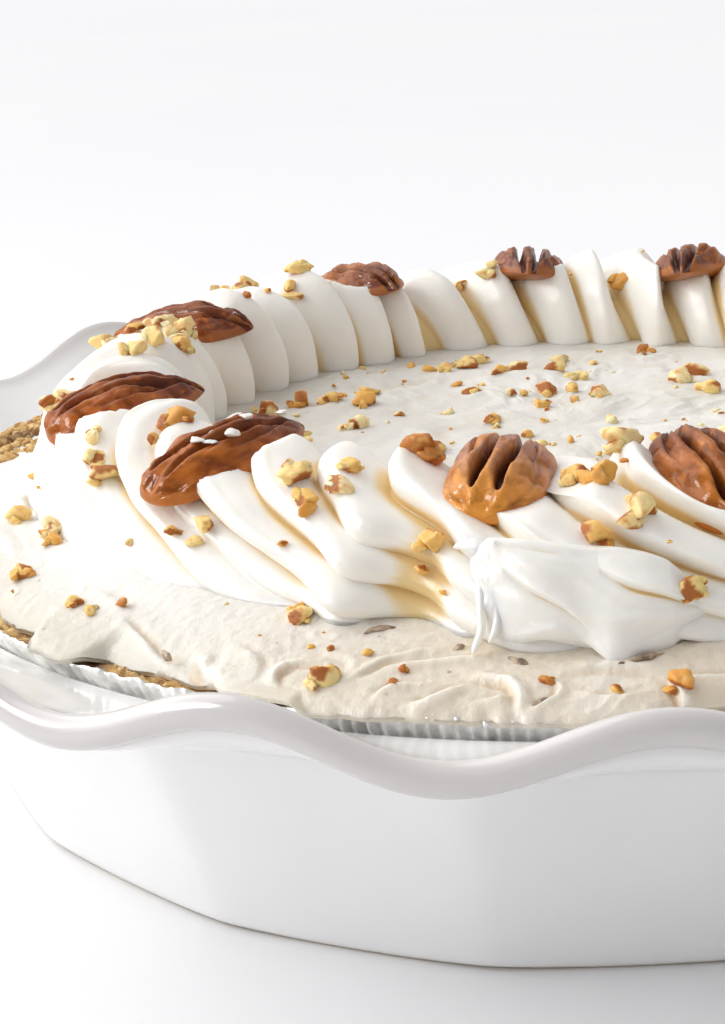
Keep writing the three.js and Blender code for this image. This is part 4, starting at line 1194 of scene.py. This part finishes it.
def makeWorld():  # a pale room, brighter behind the pie and to its left
    world = bpy.data.worlds.new("paleRoom")
    world.use_nodes = True
    tree = world.node_tree
    back = tree.nodes["Background"]
    back.inputs["Color"].default_value = (*studio["world"], 1)
    sky = addNode(tree, "TexCoord").outputs["Generated"]
    side = addNode(tree, "VectorMath", {0: sky, 1: studio["brightSide"]}, operation="DOT_PRODUCT").outputs["Value"]
    level = ranged(tree, side, -0.7, 0.6, studio["worldBright"], studio["worldDark"], soft=True)
    tree.links.new(level, back.inputs["Strength"])
    bpy.context.scene.world = world


makeWorld()
sun = bpy.data.lights.new("windowLight", "SUN")
sun.energy, sun.angle, sun.color = studio["sunStrength"], np.radians(studio["sunWidth"]), studio["sunColour"]
sunward = polar(studio["sunFrom"], cosDeg(studio["sunHeight"]), sinDeg(studio["sunHeight"]))
newObject("windowLight", sun).rotation_euler = Vector(-sunward).to_track_quat("-Z", "Y").to_euler()


def makeLamp(name, place, size, power):
    lamp = bpy.data.lights.new(name, "AREA")
    lamp.shape, lamp.size, lamp.energy = "DISK", size, power
    holder = newObject(name, lamp)
    holder.location = place
    holder.rotation_euler = (Vector((0, 0, 0.03)) - Vector(place)).to_track_quat("-Z", "Y").to_euler()
    holder.visible_camera = False
    return holder


makeLamp("softBox", studio["lampPlace"], studio["lampSize"], studio["lampPower"])
glint = makeLamp("glint", studio["glintPlace"], studio["glintSize"], studio["glintPower"])
glint.visible_diffuse = False

view = {"place": (0, -0.34434, 0.14078), "pitch": 0.303, "yaw": 0.104, "roll": -0.053, "lens": 72.71}


def makeCamera():
    yaw, pitch, roll, place = view["yaw"], view["pitch"], view["roll"], view["place"]
    forward = Vector((-np.sin(yaw) * np.cos(pitch), np.cos(yaw) * np.cos(pitch), -np.sin(pitch)))
    right = Vector((np.cos(yaw), np.sin(yaw), 0))
    up = right.cross(forward)
    across = right * np.cos(roll) + up * np.sin(roll)
    upward = up * np.cos(roll) - right * np.sin(roll)
    data = bpy.data.cameras.new("camera")
    data.lens, data.sensor_width, data.clip_start = view["lens"], 36, 0.01
    camera = newObject("camera", data)
    rows = [(across[k], upward[k], -forward[k], place[k]) for k in range(3)]
    camera.matrix_world = Matrix(rows + [(0, 0, 0, 1)])
    bpy.context.scene.camera = camera


makeCamera()
bpy.context.scene.view_settings.view_transform = "Standard"

print("floor, light and camera are in place")
